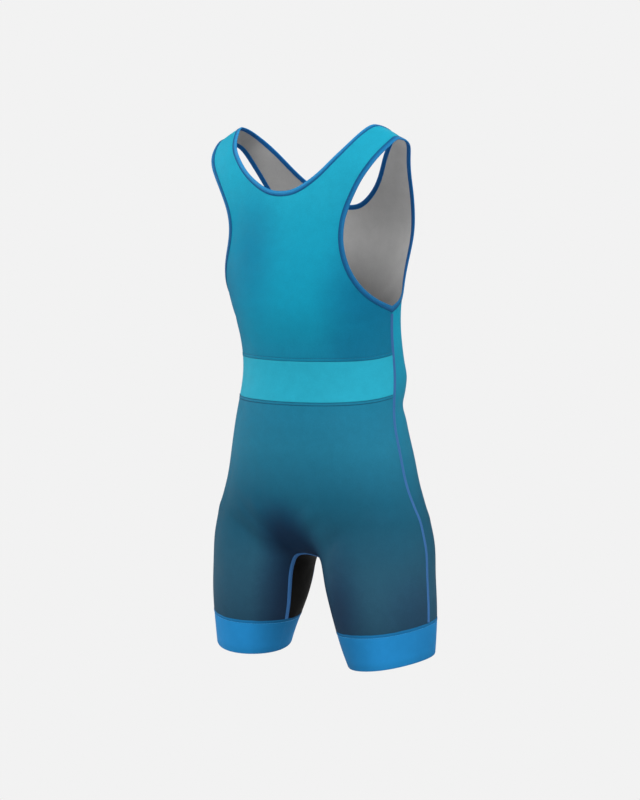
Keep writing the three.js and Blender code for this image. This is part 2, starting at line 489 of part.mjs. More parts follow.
// cuffs: a ring of the three panels' lower points, down to the hem
{
  const ring = [];
  for (let i = 0; i < M; i++) ring.push(lowF[i][0]);            // gusset front seam -> side
  for (let i = M; i > 0; i--) ring.push(lowB[i][0]);            // side -> gusset back seam
  for (let i = ROWS.gus; i > 0; i--) ring.push(gus[i][0]);      // back to the front seam
  const cols = ring.map((q) => {
    const a = angleOf(q.p, q.p[2]), c = [];
    for (let k = 0; k <= ROWS.cuff; k++) {
      if (k === 0) { c.push(q); continue; }
      c.push(fp(a, lerp(q.p[2], cuffLine(HEM, a), k / ROWS.cuff)));
    }
    return c;
  });
  cols.forEach((c) => { c[0] = toward(c[0], c[1], GAP); });
  const rows = cols;
  group.add(strip('cuff_left', COLOURS.cuff, rows, 0, -CLOTH, true));
  group.add(strip('cuff_right', COLOURS.cuff, rows.map((r) => r.map(flip)), 0, -CLOTH, true));
}
// bindings: strips between the finished edge and the panels
{
  const strips = (list, ends) => {
    const E = list.map((s) => cp(...s.edge)), I = list.map((s) => cp(...s.in)), n = list.length - 1;
    return E.map((a, k) => {
      const b = I[k], prev = k ? I[k - 1] : ends(I[1], I[n - 1]), next = k < n ? I[k + 1] : ends(I[n - 1], I[1]);
      return [a, square(b, a, prev, next, GAP)];
    });
  };
  const half = strips(neckS, (q) => flip(q));
  const left = half, right = half.slice(1, -1).reverse().map((r) => r.map(flip));
  group.add(strip('neck_binding', COLOURS.binding, [...left, ...right], BIND_OUT, -BIND_IN, true));
  const arm = strips(armS, (q, r) => r).slice(0, -1);
  group.add(strip('armhole_binding_left', COLOURS.binding, arm, BIND_OUT, -BIND_IN, true));
  group.add(strip('armhole_binding_right', COLOURS.binding, arm.map((r) => r.map(flip)), BIND_OUT, -BIND_IN, true));
}
// side seams: tapes over the line where front and back meet
{
  const front = [...lowF[M].slice(0, -1), ...band[M].slice(0, -1), ...bib[M].slice(0, ROWS.side + 1)];
  const frontIn = [...lowF[M - 1].slice(0, -1), ...band[M - 1].slice(0, -1), ...bib[M - 1].slice(0, ROWS.side + 1)];
  const backIn = backAll[M - 1].slice(0, front.length);
  const n = front.length - 1, c = (j) => front[clamp(j, 0, n)];
  const rows = front.map((q, j) => [
    square(q, frontIn[j], c(j - 1), c(j + 1), TAPE_W / 2), { p: q.p, n: q.n }, square(q, backIn[j], c(j - 1), c(j + 1), TAPE_W / 2),
  ]);
  for (let i = 0; i < 3; i++) {
    rows[0][i] = toward(rows[0][i], rows[1][i], 0.6); rows[n][i] = toward(rows[n][i], rows[n - 1][i], 0.8);
  }
  group.add(strip('side_seam_left', COLOURS.seam, rows, LIFT + TAPE_T, LIFT, false));
  group.add(strip('side_seam_right', COLOURS.seam, rows.map((r) => r.map(flip)), LIFT + TAPE_T, LIFT, false));
}
// seams of the gusset, from cuff to cuff over the arch
for (const front of [true, false]) {
  const G = front ? lowF : lowB, g = (i, j) => (front ? gus[i][j] : gus[ROWS.gus - i][j]);
  const half = [];
  for (let j = 0; j <= ROWS.low; j++) {
    const q = g(0, j), top = j === ROWS.low;
    const prev = g(0, Math.max(0, j - 1)), next = top ? flip(prev) : g(0, j + 1);
    half.push([square(q, top ? G[0][j + 1] : G[1][j], prev, next, GTAPE_W / 2), q, square(q, g(1, j), prev, next, GTAPE_W / 2)]);
  }
  for (let i = 0; i < 3; i++) half[0][i] = toward(half[0][i], half[1][i], 0.6);
  const rows = [...half, ...half.slice(0, -1).reverse().map((r) => r.map(flip))];
  group.add(strip(front ? 'gusset_seam_front' : 'gusset_seam_back', COLOURS.seam, rows, GLIFT + TAPE_T, GLIFT, false));
}

export default group;
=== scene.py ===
import bpy, math
import numpy as np
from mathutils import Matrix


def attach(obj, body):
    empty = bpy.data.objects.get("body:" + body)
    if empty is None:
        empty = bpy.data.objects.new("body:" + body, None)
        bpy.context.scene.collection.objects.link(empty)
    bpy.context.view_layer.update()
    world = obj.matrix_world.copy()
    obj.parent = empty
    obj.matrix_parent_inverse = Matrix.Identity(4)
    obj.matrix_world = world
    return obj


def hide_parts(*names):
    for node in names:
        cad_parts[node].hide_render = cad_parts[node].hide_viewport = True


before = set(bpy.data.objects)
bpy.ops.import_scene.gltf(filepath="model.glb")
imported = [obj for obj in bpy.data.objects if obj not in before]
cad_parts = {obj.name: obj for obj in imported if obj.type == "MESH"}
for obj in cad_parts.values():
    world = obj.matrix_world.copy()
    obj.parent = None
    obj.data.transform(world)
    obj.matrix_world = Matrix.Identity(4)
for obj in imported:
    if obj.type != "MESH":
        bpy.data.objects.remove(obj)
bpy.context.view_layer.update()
PI = math.pi
rad = np.radians

# =====================================================================
# 1. The garment's form, in millimetres, from the same short tables as the solids
# =====================================================================
CLOTH = 1.3            # wall of the visible cloth
BIND_W = 8.0
TAPE_W, GTAPE_W = 6.0, 7.0
UNDERARM_Z, UNDERARM_DROP = -275.0, 9.8
JOIN_Z = -409.5
ARCH_S, ARCH_BACK = -600.0, -590.0
SLOPE = dict(start=128.0, rate=0.55, soft=18.0, lift=3.5)
ROUND = 0.04
LEG_TURN = rad(42)
BOWL = dict(depth=668.0, y=33.0, radius=95.0, rise=0.001, blend=55.0)

TORSO_COLS = ("h", "half_width", "side_y", "front_depth", "back_depth")
TORSO = [
    (0, 242.9, 0.0, 0.0, 0.0), (16, 242.5, 7.7, 35.7, 36.1), (45, 235.4, 6.2, 57.7, 54.4), (85, 220.9, 11.2, 74.0, 71.3),
    (125, 204.3, 20.6, 85.2, 83.5), (170, 184.2, 22.7, 91.8, 91.5), (215, 165.5, 19.8, 98.2, 88.0), (275, 147.0, 24.6, 102.7, 80.1),
    (330, 137.4, 36.5, 102.3, 81.8), (390, 137.3, 42.4, 103.2, 88.1), (450, 143.3, 34.1, 106.2, 94.9), (510, 157.9, 34.3, 104.5, 103.8),
    (550, 168.8, 34.1, 101.2, 106.5), (590, 184.8, 33.7, 97.9, 106.9), (640, 200.8, 33.9, 92.9, 103.6), (690, 211.6, 35.1, 87.8, 98.4)]
LEG_COLS = ("z", "cx", "cy", "long", "short")
LEG = [
    (-850, 143.2, 32.0, 59.3, 53.6), (-790, 133.9, 31.3, 73.5, 64.4), (-730, 123.3, 32.0, 82.7, 77.2), (-680, 116.6, 32.0, 86.1, 80.9),
    (-640, 115.6, 35.1, 83.5, 81.3), (-600, 106.7, 39.0, 79.4, 83.0), (-560, 88.9, 39.8, 80.0, 87.8)]
AXIS = [(-900, 145, 30), (-800, 134, 31), (-730, 123, 32), (-680, 115, 32), (-640, 108, 33), (-600, 100, 34),
        (-560, 90, 34), (-500, 78, 34), (-440, 70, 34), (-380, 66, 36), (-300, 66, 34)]
NECK = [("front", 0, -102), ("front", 21, -99.8), ("front", 50.5, -86.8), ("front", 75.5, -69), ("front", 97, -47.8),
        ("front", 118.5, -19.8), ("ridge", 132.5, -4), ("back", 128.5, -20), ("back", 108, -41.5), ("back", 76, -80.5),
        ("back", 40, -109.8), ("back", 13.5, -122), ("back", 0, -123.5)]
ARM = [("front", "side", -275), ("front", 144.8, -263.6), ("front", 134, -239.5), ("front", 121.6, -205.2), ("front", 114.6, -171),
       ("front", 116.9, -145), ("front", 131, -111), ("front", 148.8, -81), ("front", 170, -46), ("ridge", 177.7, -25.5),
       ("back", 170.3, -37.5), ("back", 161.5, -57), ("back", 148.7, -97), ("back", 139.2, -137), ("back", 136.2, -177),
       ("back", 135.8, -217), ("back", 140.8, -253), ("back", "side", -275)]
BAND = [(0, -360, -421), (45, -358, -419), (70, -355, -415), (90, -349.5, -409.5)]
SEAMS = [(-830, 189, 134, 6), (-780, 191, 133.5, 6.5), (-735, 195.5, 133, 7.5), (-690, 199, 132.5, 8), (-645, 202, 131.5, 6.5),
         (-600, 202, 130.5, 3.5), (-560, 203, 130, 1), (-411, 203, 130, 0)]
CUFF_SEAM = (-762.9, 8.5, 7.2, 2.0)
HEM = (-816.6, 6.7, 9.2, 0.5)
ROWS = dict(side=4, arm=18, neckF=11, cf=11, band=3, armB=14, neckB=10, cb=11, mid=8, low=8, gus=6, cuff=3)
M = 9


def natural(xs, ys):
    """natural cubic spline through a short table, straight on past its ends"""
    xs = np.asarray(xs, float); ys = np.asarray(ys, float); n = len(xs)
    h = np.diff(xs); A = np.eye(n); r = np.zeros(n)
    for i in range(1, n - 1):
        A[i, i - 1] = h[i - 1]; A[i, i] = 2 * (h[i - 1] + h[i]); A[i, i + 1] = h[i]
        r[i] = 6 * ((ys[i + 1] - ys[i]) / h[i] - (ys[i] - ys[i - 1]) / h[i - 1])
    m = np.linalg.solve(A, r)
    s0 = (ys[1] - ys[0]) / h[0] - h[0] * (2 * m[0] + m[1]) / 6
    s1 = (ys[-1] - ys[-2]) / h[-1] + h[-1] * (2 * m[-1] + m[-2]) / 6

    def f(x):
        x = np.asarray(x, float)
        i = np.clip(np.searchsorted(xs, x, side="right") - 1, 0, n - 2)
        d = h[i]; a = (xs[i + 1] - x) / d; b = (x - xs[i]) / d
        v = a * ys[i] + b * ys[i + 1] + ((a ** 3 - a) * m[i] + (b ** 3 - b) * m[i + 1]) * d * d / 6
        v = np.where(x < xs[0], ys[0] + s0 * (x - xs[0]), v)
        return np.where(x > xs[-1], ys[-1] + s1 * (x - xs[-1]), v)
    return f


def sstep(x):
    x = np.clip(x, 0, 1); return x * x * (3 - 2 * x)


def lerp(a, b, t):
    return a + (b - a) * t


def unit(v):
    return v / np.maximum(np.linalg.norm(v, axis=-1, keepdims=True), 1e-12)


def dot(a, b):
    return (a * b).sum(-1)


T = {c: natural(np.sqrt([r[0] for r in TORSO]), [r[i] for r in TORSO]) for i, c in enumerate(TORSO_COLS) if i}
L = {c: natural([r[0] for r in LEG], [r[i] for r in LEG]) for i, c in enumerate(LEG_COLS) if i}
AX = natural([r[0] for r in AXIS], [r[1] for r in AXIS])
AY = natural([r[0] for r in AXIS], [r[2] for r in AXIS])
B_TOP = natural([r[0] for r in BAND], [r[1] for r in BAND])
B_BOT = natural([r[0] for r in BAND], [r[2] for r in BAND])
S = {c: natural([r[0] for r in SEAMS], [r[i + 1] for r in SEAMS]) for i, c in enumerate(("gf", "gb", "side"))}


def slope(x, h):
    u = np.abs(x) - SLOPE["start"]
    return (SLOPE["rate"] * (np.hypot(u, SLOPE["soft"]) + u) / 2 - SLOPE["lift"]) * np.clip(1 - h / 230, 0, 1) ** 2


def rho(phi):
    return 1 + ROUND * np.sin(2 * phi) ** 2


def chart(phi, tau):
    phi, tau = np.broadcast_arrays(np.asarray(phi, float), np.asarray(tau, float))
    t = np.abs(tau); h = t * t; r = rho(phi)
    x = T["half_width"](t) * r * np.sin(phi)
    d = np.where(tau < 0, T["back_depth"](t), -T["front_depth"](t))
    return np.stack([x, T["side_y"](t) + d * r * np.cos(phi), -h - slope(x, h)], -1)


def chart_d(phi, tau):
    e, f = 1e-3, 2e-3
    t0 = np.where(np.abs(tau) < f, np.where(tau < 0, -f, f), tau)
    return (chart(phi + e, t0) - chart(phi - e, t0)) / (2 * e), (chart(phi, t0 + f) - chart(phi, t0 - f)) / (2 * f)


def chart_n(phi, tau):
    u, v = chart_d(phi, tau); return unit(np.cross(v, u))


def depth_at(x, z):
    h = max(-z, 0.0)
    for _ in range(14): h = max(-z - float(slope(x, h)), 0.0)
    return h


def phi_at(x, h):
    a = float(T["half_width"](math.sqrt(h))); lo, hi = 0.0, PI / 2
    for _ in range(44):
        m = (lo + hi) / 2
        if a * float(rho(m)) * math.sin(m) < abs(x): lo = m
        else: hi = m
    return (lo + hi) / 2


def smin(a, b, k):
    d = np.maximum(k - np.abs(a - b), 0) / k; return np.minimum(a, b) - d ** 3 * k / 6


def field(x, y, z):
    x = np.abs(x); t = np.sqrt(np.maximum(-z, 1)); yc = T["side_y"](t)
    b = np.where(y < yc, T["front_depth"](t), T["back_depth"](t))
    X = x / T["half_width"](t); Y = np.abs(y - yc) / b; r0 = np.hypot(X, Y) + 1e-9
    body = np.hypot(x, y - yc) * (1 - rho(np.arctan2(X, Y)) / r0)
    bowl = -z - BOWL["depth"] + (y - BOWL["y"]) ** 2 / (2 * BOWL["radius"]) + BOWL["rise"] * x * x
    trunk = -smin(-body, -bowl, BOWL["blend"])
    dx = x - L["cx"](z); dy = y - L["cy"](z); c, s = math.cos(LEG_TURN), math.sin(LEG_TURN)
    k = np.hypot((dx * c + dy * s) / L["long"](z), (-dx * s + dy * c) / L["short"](z)) + 1e-9
    leg = np.hypot(dx, dy) * (1 - 1 / k) + 60 * sstep((z + 600) / 90)
    return smin(trunk, leg, 10 + 35 * np.exp(-((x / 55) ** 2)) + 38 * np.exp(-(((x - 54) / 21) ** 2)))


def fpos(P): return field(P[..., 0], P[..., 1], P[..., 2])


def field_n(P):
    e = 0.05; g = np.zeros_like(P)
    for i in range(3):
        a, b = P.copy(), P.copy(); a[..., i] += e; b[..., i] -= e
        g[..., i] = fpos(a) - fpos(b)
    g[..., 0] = np.where(np.abs(P[..., 0]) < 1e-6, 0, g[..., 0])
    return unit(g)


def tip(th, s):
    return 0.62 * sstep((-s - 470) / 140) * sstep((s + 760) / 130) * ((1 - np.cos(th)) / 2) ** 2


def ray(th, s, r):
    return np.stack([AX(s) + r * np.cos(th), AY(s) + r * np.sin(th), s - r * tip(th, s)], -1)


def hit(deg, s):
    """where the ray at an angle round the leg axis, from level s, meets the form"""
    deg, s = np.broadcast_arrays(np.asarray(deg, float), np.asarray(s, float)); th = rad(deg)
    a = np.full(th.shape, 5.0); b = np.full(th.shape, 260.0); found = np.zeros(th.shape, bool)
    for i in range(1, 53):
        r = 5 + 255 * i / 52
        out = (fpos(ray(th, s, np.full(th.shape, r))) > 0) & ~found
        a = np.where(out, 5 + 255 * (i - 1) / 52, a); b = np.where(out, r, b); found |= out
    for _ in range(24):
        m = (a + b) / 2; ins = fpos(ray(th, s, m)) < 0
        a = np.where(ins, m, a); b = np.where(ins, b, m)
    return ray(th, s, (a + b) / 2)


def on_plane(deg, s):
    th = rad(deg); P = ray(th, s, -AX(s) / np.cos(th)); P[..., 0] = 0; return P


def centre_angle(s, side):
    s = np.asarray(s, float); lo = np.full(s.shape, 180.0); hi = np.full(s.shape, 262.0 if side < 0 else 98.0)
    for _ in range(36):
        m = (lo + hi) / 2; ins = fpos(on_plane(m, s)) < 0
        lo = np.where(ins, m, lo); hi = np.where(ins, hi, m)
    return (lo + hi) / 2


def under_s(deg):
    deg = np.asarray(deg, float); hi = np.full(deg.shape, ARCH_S + 70); lo = np.full(deg.shape, ARCH_S - 60)
    for _ in range(36):
        m = (lo + hi) / 2; ins = fpos(on_plane(deg, m)) < 0
        hi = np.where(ins, m, hi); lo = np.where(ins, lo, m)
    return (lo + hi) / 2


class Edge:
    """a finished edge as a smooth curve in the chart"""
    def __init__(self, table, mirror_ends):
        k = []
        for side, x, z in table:
            sg = -1 if side == "back" else 1
            if x == "side": k.append((PI / 2, math.sqrt(-z) * sg)); continue
            h = 0.0 if side == "ridge" else depth_at(x, z)
            k.append((phi_at(x, h), math.sqrt(h) * sg))
        first = 0
        if mirror_ends:
            k = [(-k[2][0], k[2][1]), (-k[1][0], k[1][1])] + k + [(-k[-2][0], k[-2][1]), (-k[-3][0], k[-3][1])]; first = 2
        k = np.array(k); P = chart(k[:, 0], k[:, 1])
        u = np.r_[0, np.cumsum(np.linalg.norm(np.diff(P, axis=0), axis=1))]
        self.fp, self.ft = natural(u, k[:, 0]), natural(u, k[:, 1])
        u0, u1, N = u[first], u[len(u) - 1 - first], 3000
        self.us = np.linspace(u0, u1, N + 1); Q = chart(self.fp(self.us), self.ft(self.us))
        self.ls = np.r_[0, np.cumsum(np.linalg.norm(np.diff(Q, axis=0), axis=1))]
        tv = self.ft(self.us); i = int(np.argmax((tv[:-1] > 0) & (tv[1:] <= 0)))
        self.ridge = float(np.interp(0, [-tv[i], -tv[i + 1]], [self.us[i], self.us[i + 1]]))
        self.total = float(self.ls[-1]); self.ridge_len = float(np.interp(self.ridge, self.us, self.ls))

    def u_of(self, l): return np.interp(l, self.ls, self.us)

    def inside(self, u, w, way):
        p, t = self.fp(u), self.ft(u); d = 0.5
        tan = unit(chart(self.fp(u + d), self.ft(u + d)) - chart(self.fp(u - d), self.ft(u - d)))
        dp, dt = chart_d(p, t); n = chart_n(p, t); m = unit(np.cross(n, tan)) * way
        g0, g1, g2 = dot(dp, dp), dot(dp, dt), dot(dt, dt); r0, r1 = dot(dp, m) * w, dot(dt, m) * w; q = g0 * g2 - g1 * g1
        return p + (r0 * g2 - r1 * g1) / q, t + (r1 * g0 - r0 * g1) / q

    def at(self, v, n_front, n_back, way, side_ends):
        """finished line and the line BIND_W inside it, at station v (the ridge is station n_front)"""
        v = np.asarray(v, float)
        l = np.where(v <= n_front, self.ridge_len * v / n_front, lerp(self.ridge_len, self.total, (v - n_front) / n_back))
        u = self.u_of(l); o = [self.fp(u), self.ft(u)]; q = list(self.inside(u, BIND_W, way))
        near = np.abs(v - n_front) < 1e-9
        o[1] = np.where(near, 0, o[1]); q[1] = np.where(near, 0, q[1])
        if side_ends:
            f = sstep(1 - np.minimum(l, self.total - l) / 26); sg = np.where(o[1] < 0, -1, 1)
            dt = (math.sqrt(-(UNDERARM_Z - UNDERARM_DROP)) - math.sqrt(-UNDERARM_Z)) * sg
            q[0] = lerp(q[0], o[0], f); q[1] = lerp(q[1], o[1] + dt, f); q[0] = np.minimum(q[0], PI / 2)
        else:
            end = (v < 1e-9) | (v > n_front + n_back - 1e-9)
            q[0] = np.where(end, 0, q[0]); o[0] = np.where(end, 0, o[0])
        return o, q


neck_edge, arm_edge = Edge(NECK, True), Edge(ARM, False)
def neck(v): return neck_edge.at(v, ROWS["neckF"], ROWS["neckB"], -1, False)
def arm(v): return arm_edge.at(v, ROWS["arm"], ROWS["armB"], 1, True)
N_NECK, N_ARM = ROWS["neckF"] + ROWS["neckB"], ROWS["arm"] + ROWS["armB"]


def ev(*parts):
    """stations: (from, to, how many)"""
    out = [np.linspace(a, b, n, endpoint=False) for a, b, n in parts] + [[parts[-1][1]]]
    return np.concatenate(out)


SUB = 7
COLS = 64
W = np.linspace(0, 1, COLS + 1)[:, None]
# rows close together beside a cover-stitched seam, in mm from it
NEAR = np.array([0, .35, .8, 1.4, 2.4, 3.4, 3.9, 4.3, 4.7, 5.2, 6.0, 7.5])


def near_rows(step_mm): return NEAR / step_mm


# ---- front bib ----
n_bib = ROWS["cf"] + ROWS["neckF"]
v_bib = np.unique(np.round(np.r_[near_rows(22.0), np.linspace(0.5, n_bib, int((n_bib - 0.5) * SUB) + 1), ROWS["side"], ROWS["cf"]], 6))
def bib_curves(v):
    qn = neck(np.clip(v - ROWS["cf"], 0, None))[1]; q0 = neck(np.array([0.0]))[1]
    a_t = np.where(v <= ROWS["cf"], np.sqrt(lerp(-B_TOP(0), q0[1][0] ** 2, np.clip(v / ROWS["cf"], 0, 1))), qn[1])
    a_p = np.where(v <= ROWS["cf"], 0, qn[0])
    qa = arm(np.clip(v - ROWS["side"], 0, None))[1]
    b_t = np.where(v <= ROWS["side"], np.sqrt(lerp(-B_TOP(90), -(UNDERARM_Z - UNDERARM_DROP), np.clip(v / ROWS["side"], 0, 1))), qa[1])
    b_p = np.where(v <= ROWS["side"], PI / 2, qa[0])
    return a_p, a_t, b_p, b_t
def bib_grid(v):
    a_p, a_t, b_p, b_t = bib_curves(v)
    t00 = math.sqrt(-float(B_TOP(0))); t01 = math.sqrt(-float(B_TOP(90)))
    dev = np.sqrt(-B_TOP(W * 90)) - lerp(t00, t01, W)
    phi = lerp(a_p, b_p, W); tau = lerp(a_t, b_t, W) + dev * np.maximum(0, 1 - v / 5)
    return chart(phi, tau), chart_n(phi, tau)
BIB = bib_grid(v_bib)

# ---- waistband ----
v_band = np.unique(np.round(np.r_[np.array([0, .35, .8, 1.4, 2.4]) / 62, np.linspace(0.06, 0.94, 19), 1 - np.array([0, .35, .8, 1.4, 2.4]) / 62], 6))
_t = lerp(np.sqrt(-B_BOT(W * 90)), np.sqrt(-B_TOP(W * 90)), v_band)
BANDG = (chart(W * PI / 2 + 0 * _t, _t), chart_n(W * PI / 2 + 0 * _t, _t))

# ---- back, above the level of the waistband's lower seam ----
n_up = ROWS["cb"] + ROWS["neckB"]
v_up = np.unique(np.round(np.r_[np.linspace(0, n_up, n_up * SUB + 1), ROWS["band"], ROWS["band"] + ROWS["side"], ROWS["cb"]], 6))
def up_curves(v):
    n0, a0 = ROWS["cb"], ROWS["band"] + ROWS["side"]
    qn = neck(N_NECK - np.clip(v - n0, 0, None))[1]; q0 = neck(np.array([float(N_NECK)]))[1]
    a_t = np.where(v <= n0, -np.sqrt(lerp(-JOIN_Z, q0[1][0] ** 2, np.clip(v / n0, 0, 1))), qn[1])
    a_p = np.where(v <= n0, 0, qn[0])
    b1 = -lerp(math.sqrt(-float(B_BOT(90))), math.sqrt(-float(B_TOP(90))), np.clip(v / ROWS["band"], 0, 1))
    b2 = -np.sqrt(lerp(-B_TOP(90), -(UNDERARM_Z - UNDERARM_DROP), np.clip((v - ROWS["band"]) / ROWS["side"], 0, 1)))
    qa = arm(N_ARM - np.clip(v - a0, 0, None))[1]
    b_t = np.where(v <= ROWS["band"], b1, np.where(v <= a0, b2, qa[1])); b_p = np.where(v <= a0, PI / 2, qa[0])
    return a_p, a_t, b_p, b_t
_a = up_curves(v_up)
_p, _t = lerp(_a[0], _a[2], W), lerp(_a[1], _a[3], W)
BACKUP = (chart(_p, _t), chart_n(_p, _t))


# ---- lower panels ----
n_low = ROWS["mid"] + ROWS["low"]
ARCH_ANGLE = {True: float(centre_angle(np.array([ARCH_S]), -1)[0]), False: float(centre_angle(np.array([ARCH_BACK]), 1)[0])}
def arch_fade(t, front):
    t = np.clip(t, 0, 1); return (1 - t) ** 2 if front else 1 - np.sqrt(np.maximum(0, 1 - (1 - t) ** 2))
def cuff_line(c, deg): return c[0] + c[1] * np.cos(rad(deg)) + c[2] * np.sin(rad(deg)) + c[3] * np.sin(rad(2 * deg))
def low_q(k): return (np.clip(k, 0, ROWS["low"]) / ROWS["low"]) ** 1.35
def seam_angle(s, front):
    key, a0 = ("gf", ARCH_S) if front else ("gb", ARCH_BACK)
    return S[key](s) + (ARCH_ANGLE[front] - float(S[key](a0))) * arch_fade((a0 - s) / 60, front)


def lower_grid(front, k):
    """k counts rows from the waist (0) through the arch (mid) to the cuff seam"""
    side = -1 if front else 1; turn = 360 if front else 0
    k = k[None, :]; w = W
    top = (B_BOT(w * 90) if front else JOIN_Z + 0 * w)
    arch = (ARCH_S + 0 * w if front else lerp(ARCH_BACK, ARCH_S, w))
    f = np.clip(k / ROWS["mid"], 0, 1)
    # upper part
    s1 = lerp(top, arch, f) + 0 * k
    c1 = centre_angle(s1, side)
    outer = S["side"](s1) + turn
    def ang(P, s):
        a = np.degrees(np.arctan2(P[..., 1] - AY(s), P[..., 0] - AX(s)))
        return np.where((a < 60) & front, a + 360, a)
    a_top = ang(chart(w * PI / 2 + 0 * s1, np.sqrt(-s1) * (1 if front else -1)), s1)
    a_top = a_top + (c1 - a_top[:1]) * (1 - w) ** 2
    th1 = lerp(a_top, lerp(c1, outer, w), sstep(f))
    # lower part
    q = low_q(k - ROWS["mid"])
    s2 = lerp(arch, cuff_line(CUFF_SEAM, lerp(195, 367, w) if front else lerp(133, 7, w)), q)
    for _ in range(5):
        th2 = lerp(seam_angle(s2, front), S["side"](s2) + turn, w)
        s2 = lerp(arch, cuff_line(CUFF_SEAM, th2), q)
    up = k <= ROWS["mid"]
    th, s = np.where(up, th1, th2), np.where(up, s1, s2)
    P = hit(th, s)
    mid = (up & (w < 1e-9)); P[..., 0] = np.where(mid, 0, P[..., 0])
    N = field_n(P)
    first = (k[0] == 0)
    if first.any():
        C = chart(w[:, 0] * PI / 2, np.sqrt(-top[:, 0]) * (1 if front else -1)); P[:, first] = C[:, None]
        N[:, first] = chart_n(w[:, 0] * PI / 2, np.sqrt(-top[:, 0]) * (1 if front else -1))[:, None]
    return P, N


_k = np.unique(np.round(np.r_[near_rows(22.0), np.linspace(0.5, n_low, int((n_low - 0.5) * SUB) + 1), ROWS["mid"]], 6))
LOWF = lower_grid(True, _k)
_kb = np.unique(np.round(np.linspace(0, n_low, n_low * SUB + 1), 6))
LOWB = lower_grid(False, _kb)
LOWF = (LOWF[0][:, ::-1], LOWF[1][:, ::-1])          # rows upwards, as in the other grids
LOWB = (LOWB[0][:, ::-1], LOWB[1][:, ::-1])
BACK = tuple(np.concatenate([LOWB[i][:, :-1], BACKUP[i]], 1) for i in (0, 1))

# ---- gusset: from the front seam to the back seam, from the cuff seam up to the centre plane ----
def seam_at(q, front):
    a0 = ARCH_S if front else ARCH_BACK
    s = lerp(a0, cuff_line(CUFF_SEAM, 195 if front else 133), q)
    for _ in range(5):
        th = seam_angle(s, front); s = lerp(a0, cuff_line(CUFF_SEAM, th), q)
    return th, s
GW = np.linspace(0, 1, 37)[:, None]
kg = np.linspace(ROWS["low"], 0, ROWS["low"] * SUB + 1)
_q = low_q(kg)[None, :]
(_ta, _sa), (_tb, _sb) = seam_at(_q, True), seam_at(_q, False)
_tt = lerp(ARCH_ANGLE[True], ARCH_ANGLE[False], GW); _st = under_s(_tt); _st[0], _st[-1] = ARCH_S, ARCH_BACK
_th = lerp(_ta, _tb, GW); _s = lerp(_st, cuff_line(CUFF_SEAM, _th), _q)
_s[0], _s[-1] = _sa[0], _sb[0]
_P = hit(_th, _s); _P[:, -1] = on_plane(_tt, _st)[:, 0]
GUS = (_P, field_n(_P))

# ---- cuffs: a ring from the three panels' lower edges down to the hem ----
def ring_start():
    r = np.concatenate([LOWF[0][:-1:2, 0], LOWB[0][:0:-2, 0], GUS[0][:0:-2, 0]])
    return r
_r = ring_start()
_ang = np.unwrap(np.arctan2(_r[:, 1] - AY(_r[:, 2]), _r[:, 0] - AX(_r[:, 2]))) * 180 / PI
NEARC = np.array([0, .4, .9, 1.5, 2.4, 3.3, 3.8, 4.2, 4.6, 5.0, 5.6, 6.6]) / 52.5
v_cuff = np.unique(np.round(np.r_[NEARC, np.linspace(0.14, 0.955, 18), 0.975, 0.99, 1.0], 6))
_hem = cuff_line(HEM, _ang)
_sz = lerp(_r[:, 2:3], _hem[:, None], v_cuff[None])
_P = hit(np.repeat(_ang[:, None], len(v_cuff), 1), _sz); _P[:, 0] = _r
CUFF = (_P, field_n(_P))


# =====================================================================
# 2. Creases and the set of the cloth, as distances along the normal
# =====================================================================
def on_form(side, x, z):
    """a point of the form at that x and height, in front or behind"""
    ax = abs(x); y0 = 33.0
    r = np.linspace(0, 150, 301); y = y0 + (-r if side == "f" else r)
    v = field(np.full_like(y, ax), y, np.full_like(y, float(z)))
    i = int(np.argmax(v > 0)); i = max(i, 1)
    t = v[i - 1] / (v[i - 1] - v[i]); return np.array([x, y[i - 1] + t * (y[i] - y[i - 1]), z])


